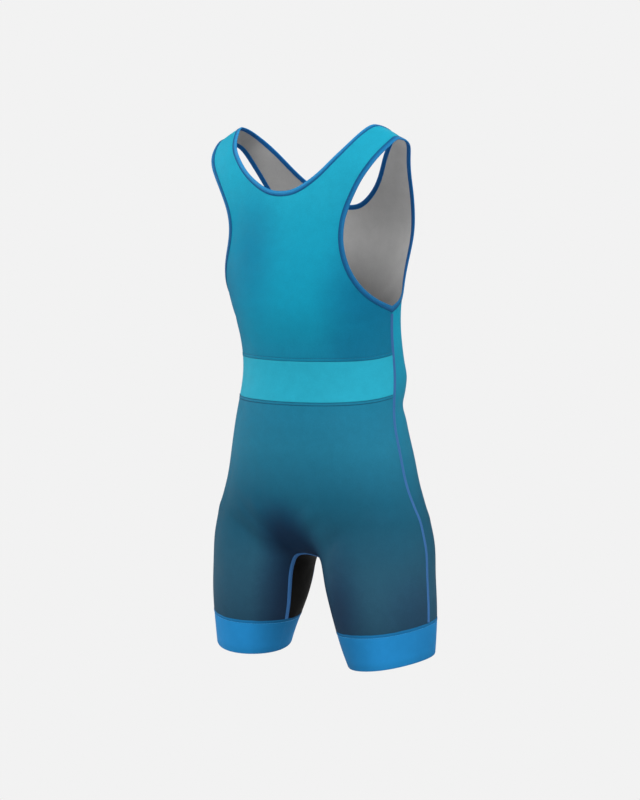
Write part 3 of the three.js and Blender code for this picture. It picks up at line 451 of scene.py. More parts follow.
# side, depth (mm, minus is a trough), half-width (mm), and the line's points as x, z
CREASES = [
    # groin, rising from the gusset arch across the hips, uneven from left to right
    ("f", -1.5, 9.0, [(20, -640), (46, -622), (78, -596), (108, -560)]), ("f", -1.3, 8.5, [(-22, -642), (-50, -618), (-84, -588), (-118, -556)]),
    ("f", 0.9, 9.0, [(16, -618), (44, -598), (78, -566)]), ("f", 0.8, 8.0, [(-16, -616), (-48, -592), (-76, -562)]),
    ("f", -0.8, 8.0, [(10, -604), (34, -584), (60, -560)]), ("f", -0.6, 7.0, [(-8, -600), (-32, -574), (-52, -548)]),
    # from the inner thigh round to the front of the leg
    ("f", -0.9, 9.0, [(62, -690), (92, -676), (128, -652)]), ("f", -0.7, 8.0, [(-60, -684), (-96, -668), (-134, -650)]),
    ("f", 0.6, 9.0, [(70, -712), (106, -700), (146, -684)]), ("f", 0.5, 8.0, [(-78, -708), (-112, -694), (-140, -676)]),
    # waist, beside the insert
    ("f", -0.7, 7.0, [(60, -446), (92, -440), (120, -432)]), ("f", -0.5, 6.5, [(-66, -450), (-98, -440), (-124, -428)]),
    ("f", -0.6, 7.0, [(70, -336), (98, -330), (122, -318)]), ("f", -0.5, 7.0, [(-62, -340), (-92, -330), (-120, -322)]),
    # from the underarm down across the ribs
    ("f", -0.8, 8.0, [(138, -292), (118, -302), (92, -306)]), ("f", -0.7, 7.0, [(-138, -290), (-116, -298), (-94, -310)]),
    ("f", 0.5, 8.0, [(128, -276), (106, -284), (80, -286)]),
    # beside the straps
    ("f", -0.7, 8.0, [(104, -146), (92, -128), (88, -106)]), ("f", -0.6, 8.0, [(-104, -150), (-90, -130), (-88, -104)]),
    # back: small of the back, uneven folds across
    ("b", -1.1, 8.0, [(-84, -408), (-40, -416), (12, -412), (58, -404)]), ("b", 0.8, 9.0, [(-70, -452), (-20, -458), (40, -454)]),
    ("b", -1.0, 8.0, [(-50, -466), (0, -474), (66, -462), (100, -450)]), ("b", -0.9, 7.0, [(-106, -380), (-72, -374), (-36, -378)]),
    ("b", -0.8, 7.0, [(30, -368), (66, -362), (104, -370)]), ("b", 0.6, 8.0, [(20, -384), (60, -380), (92, -386)]),
    # under the seat, and from the back of the arch
    ("b", -1.7, 10.0, [(38, -654), (70, -662), (112, -650), (142, -628)]), ("b", -1.5, 10.0, [(-36, -652), (-74, -658), (-116, -646), (-138, -626)]),
    ("b", 0.9, 10.0, [(52, -678), (90, -682), (130, -668)]), ("b", 0.8, 9.0, [(-50, -676), (-92, -678), (-126, -662)]),
    ("b", -0.9, 8.0, [(18, -630), (36, -606), (60, -590)]), ("b", -0.8, 8.0, [(-18, -628), (-40, -602), (-58, -584)]),
    ("b", -0.7, 9.0, [(70, -706), (106, -700), (146, -704)]), ("b", -0.6, 8.0, [(-84, -712), (-118, -704), (-148, -698)]),
    # upper back
    ("b", -0.8, 9.0, [(110, -236), (84, -262), (48, -276)]), ("b", -0.7, 9.0, [(-112, -230), (-86, -254), (-56, -270)]),
    ("b", 0.5, 9.0, [(96, -268), (70, -290), (30, -300)]), ("b", -0.6, 8.0, [(88, -124), (96, -150), (92, -180)]),
    ("b", -0.5, 8.0, [(-90, -128), (-98, -156), (-94, -176)]),
]


def seg_dist(P, a, b):
    ab = b - a; t = np.clip(((P - a) @ ab) / (ab @ ab), 0, 1); return np.linalg.norm(P - (a + t[..., None] * ab), axis=-1), t


LINES = []
for side, depth, half, pts in CREASES:
    knots = np.array([on_form(side, x, z) for x, z in pts])
    u = np.r_[0, np.cumsum(np.linalg.norm(np.diff(knots, axis=0), axis=1))]
    f = [natural(u, knots[:, i]) for i in range(3)]
    uu = np.linspace(0, u[-1], 5 * len(pts))
    Q = np.stack([f[0](uu), f[1](uu), f[2](uu)], 1)
    Q = np.array([on_form(side, q[0], q[2]) for q in Q])
    LINES.append((depth, half, Q))


def set_of_cloth(P):
    """how far the cloth stands off its form: creases, and a slight unevenness all over"""
    D = np.zeros(P.shape[:-1])
    for depth, half, Q in LINES:
        lo, hi = Q.min(0) - 3 * half, Q.max(0) + 3 * half
        sel = np.all((P > lo) & (P < hi), -1)
        if not sel.any(): continue
        X = P[sel]; best = np.full(len(X), 1e9); at = np.zeros(len(X)); n = len(Q) - 1
        for i in range(n):
            d, t = seg_dist(X, Q[i], Q[i + 1]); m = d < best
            best = np.where(m, d, best); at = np.where(m, (i + t) / n, at)
        ends = sstep(at / 0.34) * sstep((1 - at) / 0.42)
        D[sel] += depth * np.exp(-(best / half) ** 2) * ends
    x, y, z = P[..., 0], P[..., 1], P[..., 2]
    D += 0.34 * np.sin(x / 37 + 0.6 * np.sin(z / 61) + 1.3) * np.sin(z / 49 + 0.7 * np.sin(y / 43)) + 0.22 * np.sin(x / 19 + y / 31 + 2.1) * np.sin(z / 27 + x / 53)
    # at the small of the back the cloth is drawn in, and stands out a little above that
    w = sstep((y - AY(z) - 2) / 30) * (z > -560) * (z < -270); sway = z + 2.5 * np.sin(x / 41 + 0.8)
    D += w * (-4.2 * np.exp(-((sway + 431) / 16.5) ** 2) + 1.9 * np.exp(-((sway + 386) / 16) ** 2))
    # slight puckers where the snug cuffs draw the legs in
    ang = np.arctan2(y - AY(z), np.abs(x) - AX(z))
    seam = cuff_line(CUFF_SEAM, np.degrees(ang)); up = np.clip((z - seam) / 30, 0, 1)
    D += np.where(z < -640, (1 - up) ** 2 * (0.32 * np.sin(ang * 11 + np.sign(x) * 0.7) * np.sin(ang * 4 + 1.0) + 0.16 * np.sin(ang * 23 + x / 40)), 0)
    return D


# =====================================================================
# 3. Meshes
# =====================================================================
PIECES = {}


def arc(P, axis):
    d = np.linalg.norm(np.diff(P, axis=axis), axis=-1)
    return np.concatenate([np.zeros_like(np.take(d, [0], axis)), np.cumsum(d, axis)], axis)


def boundary(quads):
    """edges used by one quad only, in the direction of that quad"""
    e = np.concatenate([quads[:, [i, (i + 1) % 4]] for i in range(4)])
    n = int(e.max()) + 1; key = e[:, 0].astype(np.int64) * n + e[:, 1]; rev = e[:, 1].astype(np.int64) * n + e[:, 0]
    return e[~np.isin(key, rev)]


def make_mesh(name, V, faces, mats, index=None, uv=None, smooth_angle=50):
    me = bpy.data.meshes.new(name)
    faces = np.asarray(faces); n = len(faces); k = faces.shape[1]
    me.vertices.add(len(V)); me.vertices.foreach_set("co", (np.asarray(V, float) / 1000).astype(np.float32).ravel())
    me.loops.add(n * k); me.loops.foreach_set("vertex_index", faces.ravel().astype(np.int32))
    me.polygons.add(n); me.polygons.foreach_set("loop_start", np.arange(0, n * k, k, dtype=np.int32))
    for m in mats: me.materials.append(m)
    if index is not None: me.polygons.foreach_set("material_index", np.asarray(index, np.int32))
    if uv is not None:
        lay = me.uv_layers.new(name="cloth"); lay.uv.foreach_set("vector", (np.asarray(uv)[faces.ravel()] / 1000).astype(np.float32).ravel())
    me.update(); me.validate()
    me.polygons.foreach_set("use_smooth", np.ones(len(me.polygons), bool))
    me.set_sharp_from_angle(angle=rad(smooth_angle))
    ob = bpy.data.objects.new(name, me); bpy.context.scene.collection.objects.link(ob)
    PIECES[name] = ob; return ob


def shell(name, V, N, quads, mats, uv, out, inn, rim=0):
    """a thin wall: outer and inner skin and the turned edge between them"""
    nV = len(V); fn = np.cross(V[quads[:, 2]] - V[quads[:, 0]], V[quads[:, 3]] - V[quads[:, 1]])
    if dot(fn, N[quads[:, 0]]).sum() < 0: quads = quads[:, ::-1]
    b = boundary(quads)
    # the turned edge bulges slightly
    mid_ids = np.full(nV, -1); bv = np.unique(b); mid_ids[bv] = 2 * nV + np.arange(len(bv))
    face_c = V[quads].mean(1); inwards = np.zeros((nV, 3)); cnt = np.zeros(nV)
    for i in range(4):
        np.add.at(inwards, quads[:, i], face_c); np.add.at(cnt, quads[:, i], 1)
    inwards = inwards / np.maximum(cnt, 1)[:, None] - V
    inwards = unit(inwards - dot(inwards, N)[:, None] * N)
    outer, inner = V + N * out[:, None], V + N * inn[:, None]
    middle = (outer + inner)[bv] / 2 - inwards[bv] * 0.25
    allV = np.concatenate([outer, inner, middle])
    a, c = b[:, 0], b[:, 1]
    walls = np.concatenate([np.stack([c, a, mid_ids[a], mid_ids[c]], 1), np.stack([mid_ids[c], mid_ids[a], a + nV, c + nV], 1)])
    faces = np.concatenate([quads, quads[:, ::-1] + nV, walls])
    idx = np.r_[np.zeros(len(quads)), np.ones(len(quads)), np.full(len(walls), rim)]
    return make_mesh(name, allV, faces, mats, idx, np.concatenate([uv, uv, uv[bv]]), 55)


def panel(name, G, mats, D, centre=True):
    """both halves of a panel, joined where its inner column lies on the centre plane; D is the distance along the normal"""
    P, N = G; m, n = P.shape[:2]
    ids = np.arange(m * n).reshape(m, n); mid = np.abs(P[..., 0]) < 1e-4
    other = np.where(mid, ids, -1); k = int((~mid).sum()); other[~mid] = m * n + np.arange(k)
    flipv = np.array([-1, 1, 1])
    V = np.concatenate([P.reshape(-1, 3), P[~mid] * flipv]); NN = np.concatenate([N.reshape(-1, 3), N[~mid] * flipv])
    u, v = arc(P, 0), arc(P, 1)
    u = u + np.abs(P[:1, :, 0]); UV = np.stack([u, v + P[:, :1, 2]], -1)
    UV = np.concatenate([UV.reshape(-1, 2), UV[~mid] * np.array([-1, 1])])
    D2 = D if D.ndim == 3 else np.stack([D, D], -1)                  # one side, other side
    DD = np.concatenate([D2[..., 0].ravel(), D2[..., 1][~mid]])
    q = lambda I: np.stack([I[:-1, :-1], I[1:, :-1], I[1:, 1:], I[:-1, 1:]], -1).reshape(-1, 4)
    quads = np.concatenate([q(ids), q(other)[:, ::-1]])
    return shell(name, V, NN, quads, mats, UV, DD, DD - CLOTH)


def both(P):
    """the set of the cloth on the wearer's left and, mirrored, on the right"""
    return np.stack([set_of_cloth(P), set_of_cloth(P * np.array([-1, 1, 1]))], -1)


def bump_rows(d, at, half, height):
    return height * np.exp(-((d - at) / half) ** 2)


def cover_seam(d):
    """cross-section of a cover-stitched seam: sunk at the join, a low flat ridge over the allowance, sunk again at the needle line"""
    ridge = 0.42 * sstep(d / 0.9) * sstep((4.9 - d) / 0.7)
    return ridge - 0.35 * np.exp(-(d / 0.6) ** 2) - 0.28 * np.exp(-((d - 4.9) / 0.7) ** 2)


# ---------- strips, bindings and stitches ----------
def loft(name, S, mats, uvs, closed, smooth=60, index=None, caps=True):
    """S[k][i]: rings of a closed section, one for each station"""
    K, C = S.shape[:2]; V = S.reshape(-1, 3); ks = np.arange(K if closed else K - 1); i = np.arange(C)
    a = (ks[:, None] * C + i); b = (((ks + 1) % K)[:, None] * C + i); i1 = (i + 1) % C
    quads = np.stack([a, ks[:, None] * C + i1, ((ks + 1) % K)[:, None] * C + i1, b], -1).reshape(-1, 4)
    cen = S.mean(1, keepdims=True); n = (S - cen).reshape(-1, 3)
    fn = np.cross(V[quads[:, 2]] - V[quads[:, 0]], V[quads[:, 3]] - V[quads[:, 1]])
    flip = dot(fn, n[quads[:, 0]]).sum() < 0
    if flip: quads = quads[:, ::-1]
    if not closed and caps:
        for k, rev in ((0, False), (K - 1, True)):
            h = C // 2; r = np.arange(C) + k * C
            cap = np.array([[r[j], r[j + 1], r[(C - 2 - j) % C], r[(C - 1 - j) % C]] for j in range(h - 1)])
            fc = np.cross(V[cap[:, 2]] - V[cap[:, 0]], V[cap[:, 3]] - V[cap[:, 1]]).sum(0)
            away = V[r].mean(0) - S[1 if k == 0 else K - 2].mean(0)
            if fc @ away < 0: cap = cap[:, ::-1]
            quads = np.concatenate([quads, cap])
    idx = None
    if index is not None:
        idx = np.r_[np.tile(index, len(ks)), np.zeros(len(quads) - len(ks) * C)]
    return make_mesh(name, V, quads, mats, idx, uvs.reshape(-1, 2), smooth)


def binding(name, E, I, nE, nI, mats, closed=True):
    """a tape folded round the cloth's edge: E is its outer fold, I its sewn edge"""
    a = np.array([0.0, 0.15, 0.7, 1.6, 3.0, 4.4, 5.3, 5.75, 6.1, 6.45, 7.0, 7.6, 8.0, 8.15,
                  8.15, 8.0, 7.6, 7.0, 6.45, 6.1, 5.75, 5.3, 4.4, 3.0, 1.6, 0.7, 0.15, 0.0])
    b = np.array([-0.45, 0.0, 0.42, 0.66, 0.78, 0.72, 0.6, 0.46, 0.40, 0.46, 0.6, 0.55, 0.3, -0.1,
                  -1.2, -1.6, -1.85, -1.9, -1.76, -1.7, -1.76, -1.9, -2.0, -2.06, -1.95, -1.7, -1.3, -0.85])
    d = unit(I - E); n = unit(nE + nI)
    t = (a / BIND_W)[None, :, None]
    base = E[:, None] + (I - E)[:, None] * t
    nn = unit(lerp(nE[:, None], nI[:, None], np.clip(t, 0, 1)))
    # the fold is fuller here and thinner there, and pulls in a little between stitches
    s = np.r_[0, np.cumsum(np.linalg.norm(np.diff(E, axis=0), axis=1))]
    full = 0.10 * np.sin(s / 23) + 0.07 * np.sin(s / 9.0 + 1.0)
    off = b[None, :] + np.where(b > -0.6, 1, -1)[None, :] * full[:, None] * np.clip((a - 0.3) / 2, 0, 1)[None, :] * np.clip((8 - a) / 2, 0, 1)[None, :]
    S_ = base + nn * off[..., None]
    per = np.r_[0, np.cumsum(np.hypot(np.diff(a), np.diff(b)))]
    uv = np.stack(np.broadcast_arrays(per[None, :], s[:, None]), -1)
    return loft(name, S_, mats, uv, closed, 70)


def seam_tape(name, C, side, n, width, mats, high=0.85, low=-0.55):
    """a flat overlocked seam: crowned, with a sunk line down each needle row"""
    hw = width / 2
    a = np.array([-1.0, -0.93, -0.78, -0.66, -0.56, -0.40, 0.0, 0.40, 0.56, 0.66, 0.78, 0.93, 1.0]) * hw
    b = np.array([0.06, 0.30, 0.50, 0.40, 0.52, 0.74, 0.80, 0.74, 0.52, 0.40, 0.50, 0.30, 0.06]) / 0.80 * high
    a2 = np.r_[a, a[::-1] * 0.96]; b2 = np.r_[b, np.full(len(b), low)]
    s = np.r_[0, np.cumsum(np.linalg.norm(np.diff(C, axis=0), axis=1))]
    S_ = C[:, None] + side[:, None] * a2[None, :, None] + n[:, None] * b2[None, :, None]
    uv = np.stack(np.broadcast_arrays(np.r_[a + hw, a[::-1] + hw][None, :], s[:, None]), -1)
    return loft(name, S_, mats, uv, False, 70)


def resample(P, extra, step):
    """points at even spacing along a line, with its other columns carried along"""
    s = np.r_[0, np.cumsum(np.linalg.norm(np.diff(P, axis=0), axis=1))]; n = max(2, int(round(s[-1] / step)) + 1)
    t = np.linspace(0, s[-1], n); g = lambda A: np.stack([np.interp(t, s, A[:, i]) for i in range(3)], 1)
    return [g(P)] + [g(e) for e in extra]


def stitches(name, lines, mat, pitch=3.0, length=2.3, r=0.24, sink=0.05):
    """rows of thread laid on the cloth: each stitch is a short rounded bead that dips in at both ends"""
    sides, rings = 6, 7; allV, allF, off = [], [], 0
    tt = np.linspace(-1, 1, rings); rr = np.sqrt(np.maximum(0, 1 - np.abs(tt) ** 3)) * r + 0.03; dip = -0.45 * np.abs(tt) ** 2.5 * r * 2
    an = np.arange(sides) * 2 * PI / sides
    for P, N in lines:
        Q, NN = resample(P, [N], pitch)[:2]
        if len(Q) < 3: continue
        mid = (Q[1:] + Q[:-1]) / 2; tan = unit(Q[1:] - Q[:-1]); nn = unit(NN[1:] + NN[:-1]); sd = unit(np.cross(nn, tan)); nn = np.cross(tan, sd)
        V = (mid[:, None, None] + tan[:, None, None] * (tt * length / 2)[None, :, None, None]
             + sd[:, None, None] * (rr[:, None] * np.cos(an))[None, :, :, None]
             + nn[:, None, None] * (rr[:, None] * np.sin(an) + dip[:, None] + r - sink)[None, :, :, None])
        K = len(mid); nv = rings * sides; base = off + np.arange(K)[:, None] * nv
        i, j = np.meshgrid(np.arange(rings - 1), np.arange(sides), indexing="ij"); j1 = (j + 1) % sides
        f = np.stack([i * sides + j, i * sides + j1, (i + 1) * sides + j1, (i + 1) * sides + j], -1).reshape(-1, 4)
        caps = np.array([[0, 5, 4, 1], [1, 4, 3, 2]]); tail = (rings - 1) * sides + np.array([[0, 1, 4, 5], [1, 2, 3, 4]])
        f = np.concatenate([f, caps, tail])
        allV.append(V.reshape(-1, 3)); allF.append((base[:, :, None] + f[None]).reshape(-1, 4)); off += K * nv
    V, F = np.concatenate(allV), np.concatenate(allF)
    c = V.reshape(-1, rings * sides, 3).mean(1); fn = np.cross(V[F[:, 2]] - V[F[:, 0]], V[F[:, 3]] - V[F[:, 1]])
    per = len(F) // len(c); outw = V[F].mean(1) - np.repeat(c, per, 0)
    if dot(fn, outw).sum() < 0: F = F[:, ::-1]
    return make_mesh(name, V, F, [mat], None, None, 80)


# =====================================================================
# 4. Materials
# =====================================================================
class Nodes:
    def __init__(self, name):
        self.m = bpy.data.materials.new(name); self.m.use_nodes = True; self.t = self.m.node_tree
        self.b = self.t.nodes["Principled BSDF"]; self.x = -200

    def new(self, kind, **kw):
        n = self.t.nodes.new(kind); self.x -= 180; n.location = (self.x, 0)
        for k, v in kw.items(): setattr(n, k, v)
        return n

    def link(self, a, b): self.t.links.new(a, b)

    def put(self, sock, v):
        if isinstance(v, (int, float)): sock.default_value = v
        elif isinstance(v, tuple): sock.default_value = v
        else: self.link(v, sock)

    def math(self, op, a, b=None, c=None, clamp=False):
        n = self.new("ShaderNodeMath", operation=op, use_clamp=clamp)
        for i, v in enumerate((a, b, c)):
            if v is not None: self.put(n.inputs[i], v)
        return n.outputs[0]

    def coords(self):
        if not hasattr(self, "tc"):
            self.tc = self.new("ShaderNodeTexCoord"); self.sx = self.new("ShaderNodeSeparateXYZ"); self.link(self.tc.outputs["Object"], self.sx.inputs[0])
            self.uvn = self.new("ShaderNodeUVMap", uv_map="cloth"); self.su = self.new("ShaderNodeSeparateXYZ"); self.link(self.uvn.outputs[0], self.su.inputs[0])
        return self

    def noise(self, scale, detail=2.0, rough=0.5, uv=False, stretch=None):
        self.coords(); n = self.new("ShaderNodeTexNoise"); n.inputs["Scale"].default_value = scale; n.inputs["Detail"].default_value = detail
        n.inputs["Roughness"].default_value = rough
        src = self.uvn.outputs[0] if uv else self.tc.outputs["Object"]
        if stretch:
            mp = self.new("ShaderNodeMapping"); mp.inputs["Scale"].default_value = stretch; self.link(src, mp.inputs[0]); src = mp.outputs[0]
        self.link(src, n.inputs["Vector"]); return n.outputs["Fac"]

    def remap(self, v, a, b, c, d, smooth=False):
        n = self.new("ShaderNodeMapRange", interpolation_type="SMOOTHSTEP" if smooth else "LINEAR")
        self.link(v, n.inputs["Value"])
        for k, x in zip(("From Min", "From Max", "To Min", "To Max"), (a, b, c, d)): n.inputs[k].default_value = x
        return n.outputs["Result"]

    def ramp(self, v, stops, interp="B_SPLINE"):
        n = self.new("ShaderNodeValToRGB"); self.link(v, n.inputs[0]); r = n.color_ramp; r.interpolation = interp
        while len(r.elements) > 1: r.elements.remove(r.elements[-1])
        r.elements[0].position = stops[0][0]; r.elements[0].color = (*stops[0][1], 1)
        for p, c in stops[1:]:
            e = r.elements.new(p); e.color = (*c, 1)
        return n.outputs["Color"]

    def scale(self, col, f):
        """colour times a varying brightness"""
        n = self.new("ShaderNodeVectorMath", operation="SCALE"); self.put(n.inputs[0], col); self.put(n.inputs["Scale"], f); return n.outputs[0]

    def mix(self, f, a, b):
        n = self.new("ShaderNodeMix", data_type="RGBA"); self.put(n.inputs[0], f); self.put(n.inputs[6], a); self.put(n.inputs[7], b); return n.outputs[2]

    def shade_patches(self, table):
        """soft oval patches of painted shade, in deeper colour; each: centre x and z, radii, how much, whether on one
        side only
        """
        self.coords(); f = None; ax = self.math("ABSOLUTE", self.sx.outputs[0]); z = self.sx.outputs[2]
        for (x0, z0), (rx, rz), amount, one in table:
            dx = self.math("DIVIDE", self.math("SUBTRACT", self.sx.outputs[0] if one else ax, x0), rx); dz = self.math("DIVIDE", self.math("SUBTRACT", z, z0), rz)
            g = self.remap(self.math("SQRT", self.math("ADD", self.math("MULTIPLY", dx, dx), self.math("MULTIPLY", dz, dz))), 0.0, 1.0, 1 - amount, 1, True)
            f = g if f is None else self.math("MULTIPLY", f, g)
        return f

    def fork(self, amount, wide=0.078):
        """painted shade between the legs: deeper colour down the inner sides of the legs, fading out above the gusset
        """
        self.coords(); z = self.sx.outputs[2]; ax = self.math("ABSOLUTE", self.sx.outputs[0])
        dx = self.math("DIVIDE", self.math("MULTIPLY_ADD", self.math("MINIMUM", self.math("ADD", z, 0.67), 0.0), 0.2, ax), wide)
        dz = self.math("DIVIDE", self.math("MAXIMUM", self.math("ADD", z, 0.66), 0.0), 0.105)
        return self.remap(self.math("SQRT", self.math("ADD", self.math("MULTIPLY", dx, dx), self.math("MULTIPLY", dz, dz))), 0.3, 1.0, 1 - amount, 1, True)

    def knit(self, wale=0.0011, course=0.0009):
        """plain knit seen close: columns of small V-shaped loops; about 0 to 1"""
        self.coords(); u, v = self.su.outputs[0], self.su.outputs[1]
        a = self.math("DIVIDE", u, wale); fr = self.math("FRACT", a); tri = self.math("ABSOLUTE", self.math("SUBTRACT", fr, 0.5))
        col = self.math("SINE", self.math("MULTIPLY", fr, PI))
        vv = self.math("MULTIPLY_ADD", v, 1 / course, self.math("MULTIPLY", tri, -1.1))
        loop = self.math("MULTIPLY_ADD", self.math("SINE", self.math("MULTIPLY", vv, 2 * PI)), 0.5, 0.5)
        return self.math("MULTIPLY", self.math("POWER", col, 0.7), self.math("MULTIPLY_ADD", loop, 0.55, 0.45))

    def rib(self, pitch, axis=0):
        self.coords(); return self.math("MULTIPLY_ADD", self.math("SINE", self.math("MULTIPLY", self.su.outputs[axis], 2 * PI / pitch)), 0.5, 0.5)

    def bump(self, h, dist, strength=1.0, under=None):
        n = self.new("ShaderNodeBump"); n.inputs["Distance"].default_value = dist; n.inputs["Strength"].default_value = strength
        self.link(h, n.inputs["Height"])
        if under is not None: self.link(under, n.inputs["Normal"])
        return n.outputs[0]

    def done(self, color, rough, normal=None, sheen=0.0, sheen_rough=0.4, tint=(1, 1, 1, 1), spec=0.35):
        b = self.b; self.put(b.inputs["Base Color"], color); self.put(b.inputs["Roughness"], rough)
        if normal is not None: self.link(normal, b.inputs["Normal"])
        b.inputs["Sheen Weight"].default_value = sheen; b.inputs["Sheen Roughness"].default_value = sheen_rough
        b.inputs["Sheen Tint"].default_value = tint; b.inputs["Specular IOR Level"].default_value = spec
        return self.m


def srgb(r, g, b):
    f = lambda c: (c / 255 / 12.92) if c / 255 <= 0.04045 else ((c / 255 + 0.055) / 1.055) ** 2.4
    return (f(r), f(g), f(b))


def cloth(name, stops, dark=None, fork=0.0, speck=0.06):
    """smooth stretch knit, dyed in bands from top to bottom; stops are (height in m, colour)"""
    n = Nodes(name).coords(); z = n.sx.outputs[2]
    lo, hi = -0.85, 0.02
    c = n.ramp(n.remap(z, lo, hi, 0, 1), [((h - lo) / (hi - lo), col) for h, col in sorted(stops)], "LINEAR")
    if dark:
        # painted shade: the colour is made deeper, and nearer to navy, where the legs meet, at the sides and in the
        # other listed patches
        f = n.shade_patches(dark)
        if fork: f = n.math("MULTIPLY", f, n.fork(fork))
        cx = n.new("ShaderNodeCombineXYZ")
        for i, e in enumerate((0.80, 1.20, 0.86)): n.link(n.math("POWER", f, e), cx.inputs[i])
        v = n.new("ShaderNodeVectorMath", operation="MULTIPLY"); n.link(c, v.inputs[0]); n.link(cx.outputs[0], v.inputs[1]); c = v.outputs[0]
    mottle = n.remap(n.noise(70, 3, 0.55), 0.3, 0.7, 0.965, 1.035)
    speckle = n.remap(n.noise(1500, 2, 0.7), 0.25, 0.75, 1 - speck, 1 + speck)
    grain = n.remap(n.noise(560, 2, 0.6), 0.3, 0.7, 0.955, 1.045)
    k = n.knit(); kn = n.remap(k, 0, 1, 0.90, 1.05)
    c = n.scale(c, n.math("MULTIPLY", n.math("MULTIPLY", n.math("MULTIPLY", mottle, grain), speckle), kn))
    nrm = n.bump(k, 0.00012, 0.55, n.bump(n.noise(240, 2, 0.5, stretch=(1, 1, 0.5)), 0.0004, 0.20))
    ro = n.remap(n.noise(35, 2), 0.3, 0.7, 0.55, 0.68)
    return n.done(c, ro, nrm, 0.0, 0.4, (1, 1, 1, 1), 0.03)


def dye(g, b, r): return (r, g, g * b)


UPPER = [(0.01, dye(.335, 1.44, .014)), (-0.11, dye(.332, 1.45, .013)), (-0.15, dye(.298, 1.48, .009)), (-0.20, dye(.274, 1.51, .007)), (-0.27, dye(.264, 1.53, .006)),
         (-0.31, dye(.224, 1.55, .006)), (-0.35, dye(.184, 1.61, .007)), (-0.40, dye(.156, 1.63, .010)), (-0.45, dye(.154, 1.62, .013)), (-0.49, dye(.152, 1.60, .014)),
         (-0.53, dye(.122, 1.64, .012)), (-0.57, dye(.090, 1.68, .009)), (-0.60, dye(.079, 1.68, .010)), (-0.64, dye(.078, 1.66, .014)), (-0.67, dye(.080, 1.62, .018)),
         (-0.71, dye(.076, 1.63, .020)), (-0.75, dye(.064, 1.66, .018)), (-0.78, dye(.050, 1.70, .014))]
# painted shade patches: at the chest's sides and under the arms, the right of the chest, the right of the lower belly
# and the front and side of the left thigh, and under the seat
SIDE_SHADE = [((0.140, -0.275), (0.085, 0.125), 0.40, False), ((0.135, -0.165), (0.060, 0.120), 0.12, False), ((0.106, -0.345), (0.058, 0.060), 0.17, True)]
CHEST_SHADE = [((-0.058, -0.195), (0.085, 0.155), 0.27, True)]
BELLY_SHADE = [((-0.050, -0.600), (0.090, 0.065), 0.12, True), ((0.100, -0.735), (0.062, 0.140), 0.47, True), ((0.212, -0.735), (0.050, 0.110), 0.30, True)]
SEAT_SHADE = [((0.0, -0.640), (0.060, 0.070), 0.20, False)]
m_front = cloth("knit_front", UPPER, SIDE_SHADE + CHEST_SHADE)
m_lower = cloth("knit_lower", UPPER, BELLY_SHADE, 0.66)
BACK_DYE = [(h, c) for h, c in UPPER if h > -0.30 or h < -0.48] + [(-0.31, dye(.270, 1.50, .008)), (-0.35, dye(.235, 1.52, .010)), (-0.40, dye(.200, 1.56, .012)), (-0.45, dye(.168, 1.60, .013))]
m_back = cloth("knit_back", BACK_DYE, SEAT_SHADE, 0.75)


def plain_cloth(name, col, speck=0.05, rough=(0.55, 0.68), bumpk=0.5, spec=0.03, knit_amt=(0.92, 1.04), shade=None):
    n = Nodes(name).coords()
    mottle = n.remap(n.noise(60, 3, 0.55), 0.3, 0.7, 0.965, 1.035); speckle = n.remap(n.noise(1500, 2, 0.7), 0.25, 0.75, 1 - speck, 1 + speck)
    grain = n.remap(n.noise(560, 2, 0.6), 0.3, 0.7, 0.965, 1.035)
    k = n.knit(); kn = n.remap(k, 0, 1, *knit_amt)
    f = n.math("MULTIPLY", n.math("MULTIPLY", n.math("MULTIPLY", mottle, grain), speckle), kn)
    if shade:
        # painted shade: the lining is darker low down in the armholes; painted light and shade high up, where the right
        # strap's lining is darker and the left one's lighter
        f = n.math("MULTIPLY", f, n.remap(n.sx.outputs[2], -0.30, -0.17, shade[0], 1.0, True)); w = n.remap(n.sx.outputs[2], -0.15, -0.05, 0.0, 1.0, True)
        f = n.math("MULTIPLY", f, n.math("MULTIPLY_ADD", w, n.remap(n.sx.outputs[0], -0.10, 0.12, shade[1], shade[2]), 1.0))
    c = n.scale((*col, 1.0)[:3], f)
    nrm = n.bump(k, 0.00012, bumpk)
    return n.done(c, n.remap(n.noise(35, 2), 0.3, 0.7, *rough), nrm, 0.0, 0.4, (1, 1, 1, 1), spec)


m_band = plain_cloth("knit_waistband", (.019, .318, .442))
m_inside = plain_cloth("knit_inside", (.415, .412, .409), speck=0.04, rough=(0.75, 0.85), shade=(0.62, -0.20, 0.14))
m_gusset = plain_cloth("knit_gusset", (.0046, .0045, .0042), speck=0.10, spec=0.02)
m_gusset_in = plain_cloth("knit_gusset_inside", (.009, .009, .009), speck=0.10, spec=0.02)


def cuff_material(name, col):
    n = Nodes(name).coords()
    mottle = n.remap(n.noise(60, 3, 0.55), 0.3, 0.7, 0.965, 1.035); speckle = n.remap(n.noise(1500, 2, 0.7), 0.25, 0.75, 0.96, 1.04)
    rib = n.rib(0.0016, 0); k = n.knit(0.0016, 0.0011)
    # darker along its top, beside the seam; painted shade towards the hem
    v = n.su.outputs[1]; top = n.math("MULTIPLY", n.remap(v, 0.0042, 0.0052, 0.66, 1.0, True), n.remap(v, 0.040, 0.056, 1.0, 0.86, True))
    # painted shade down the inner legs, and in two patches on the left cuff
    top = n.math("MULTIPLY", top, n.math("MULTIPLY", n.fork(0.50), n.shade_patches([((0.108, -0.80), (0.060, 0.100), 0.30, True), ((0.222, -0.79), (0.060, 0.110), 0.26, True)])))
    c = n.scale(col, n.math("MULTIPLY", top, n.math("MULTIPLY", n.math("MULTIPLY", mottle, speckle), n.remap(rib, 0, 1, 0.94, 1.04))))
    nrm = n.bump(rib, 0.00010, 0.6, n.bump(k, 0.00008, 0.4))
    return n.done(c, n.remap(n.noise(35, 2), 0.3, 0.7, 0.55, 0.66), nrm, 0.0, 0.4, (1, 1, 1, 1), 0.04)


m_cuff = cuff_material("elastic_cuff", (.014, .196, .460))
# painted shade: the cuffs' inner faces are a darker copy of their outer colour
m_cuff_in = cuff_material("elastic_cuff_inside", (.014, .150, .360))


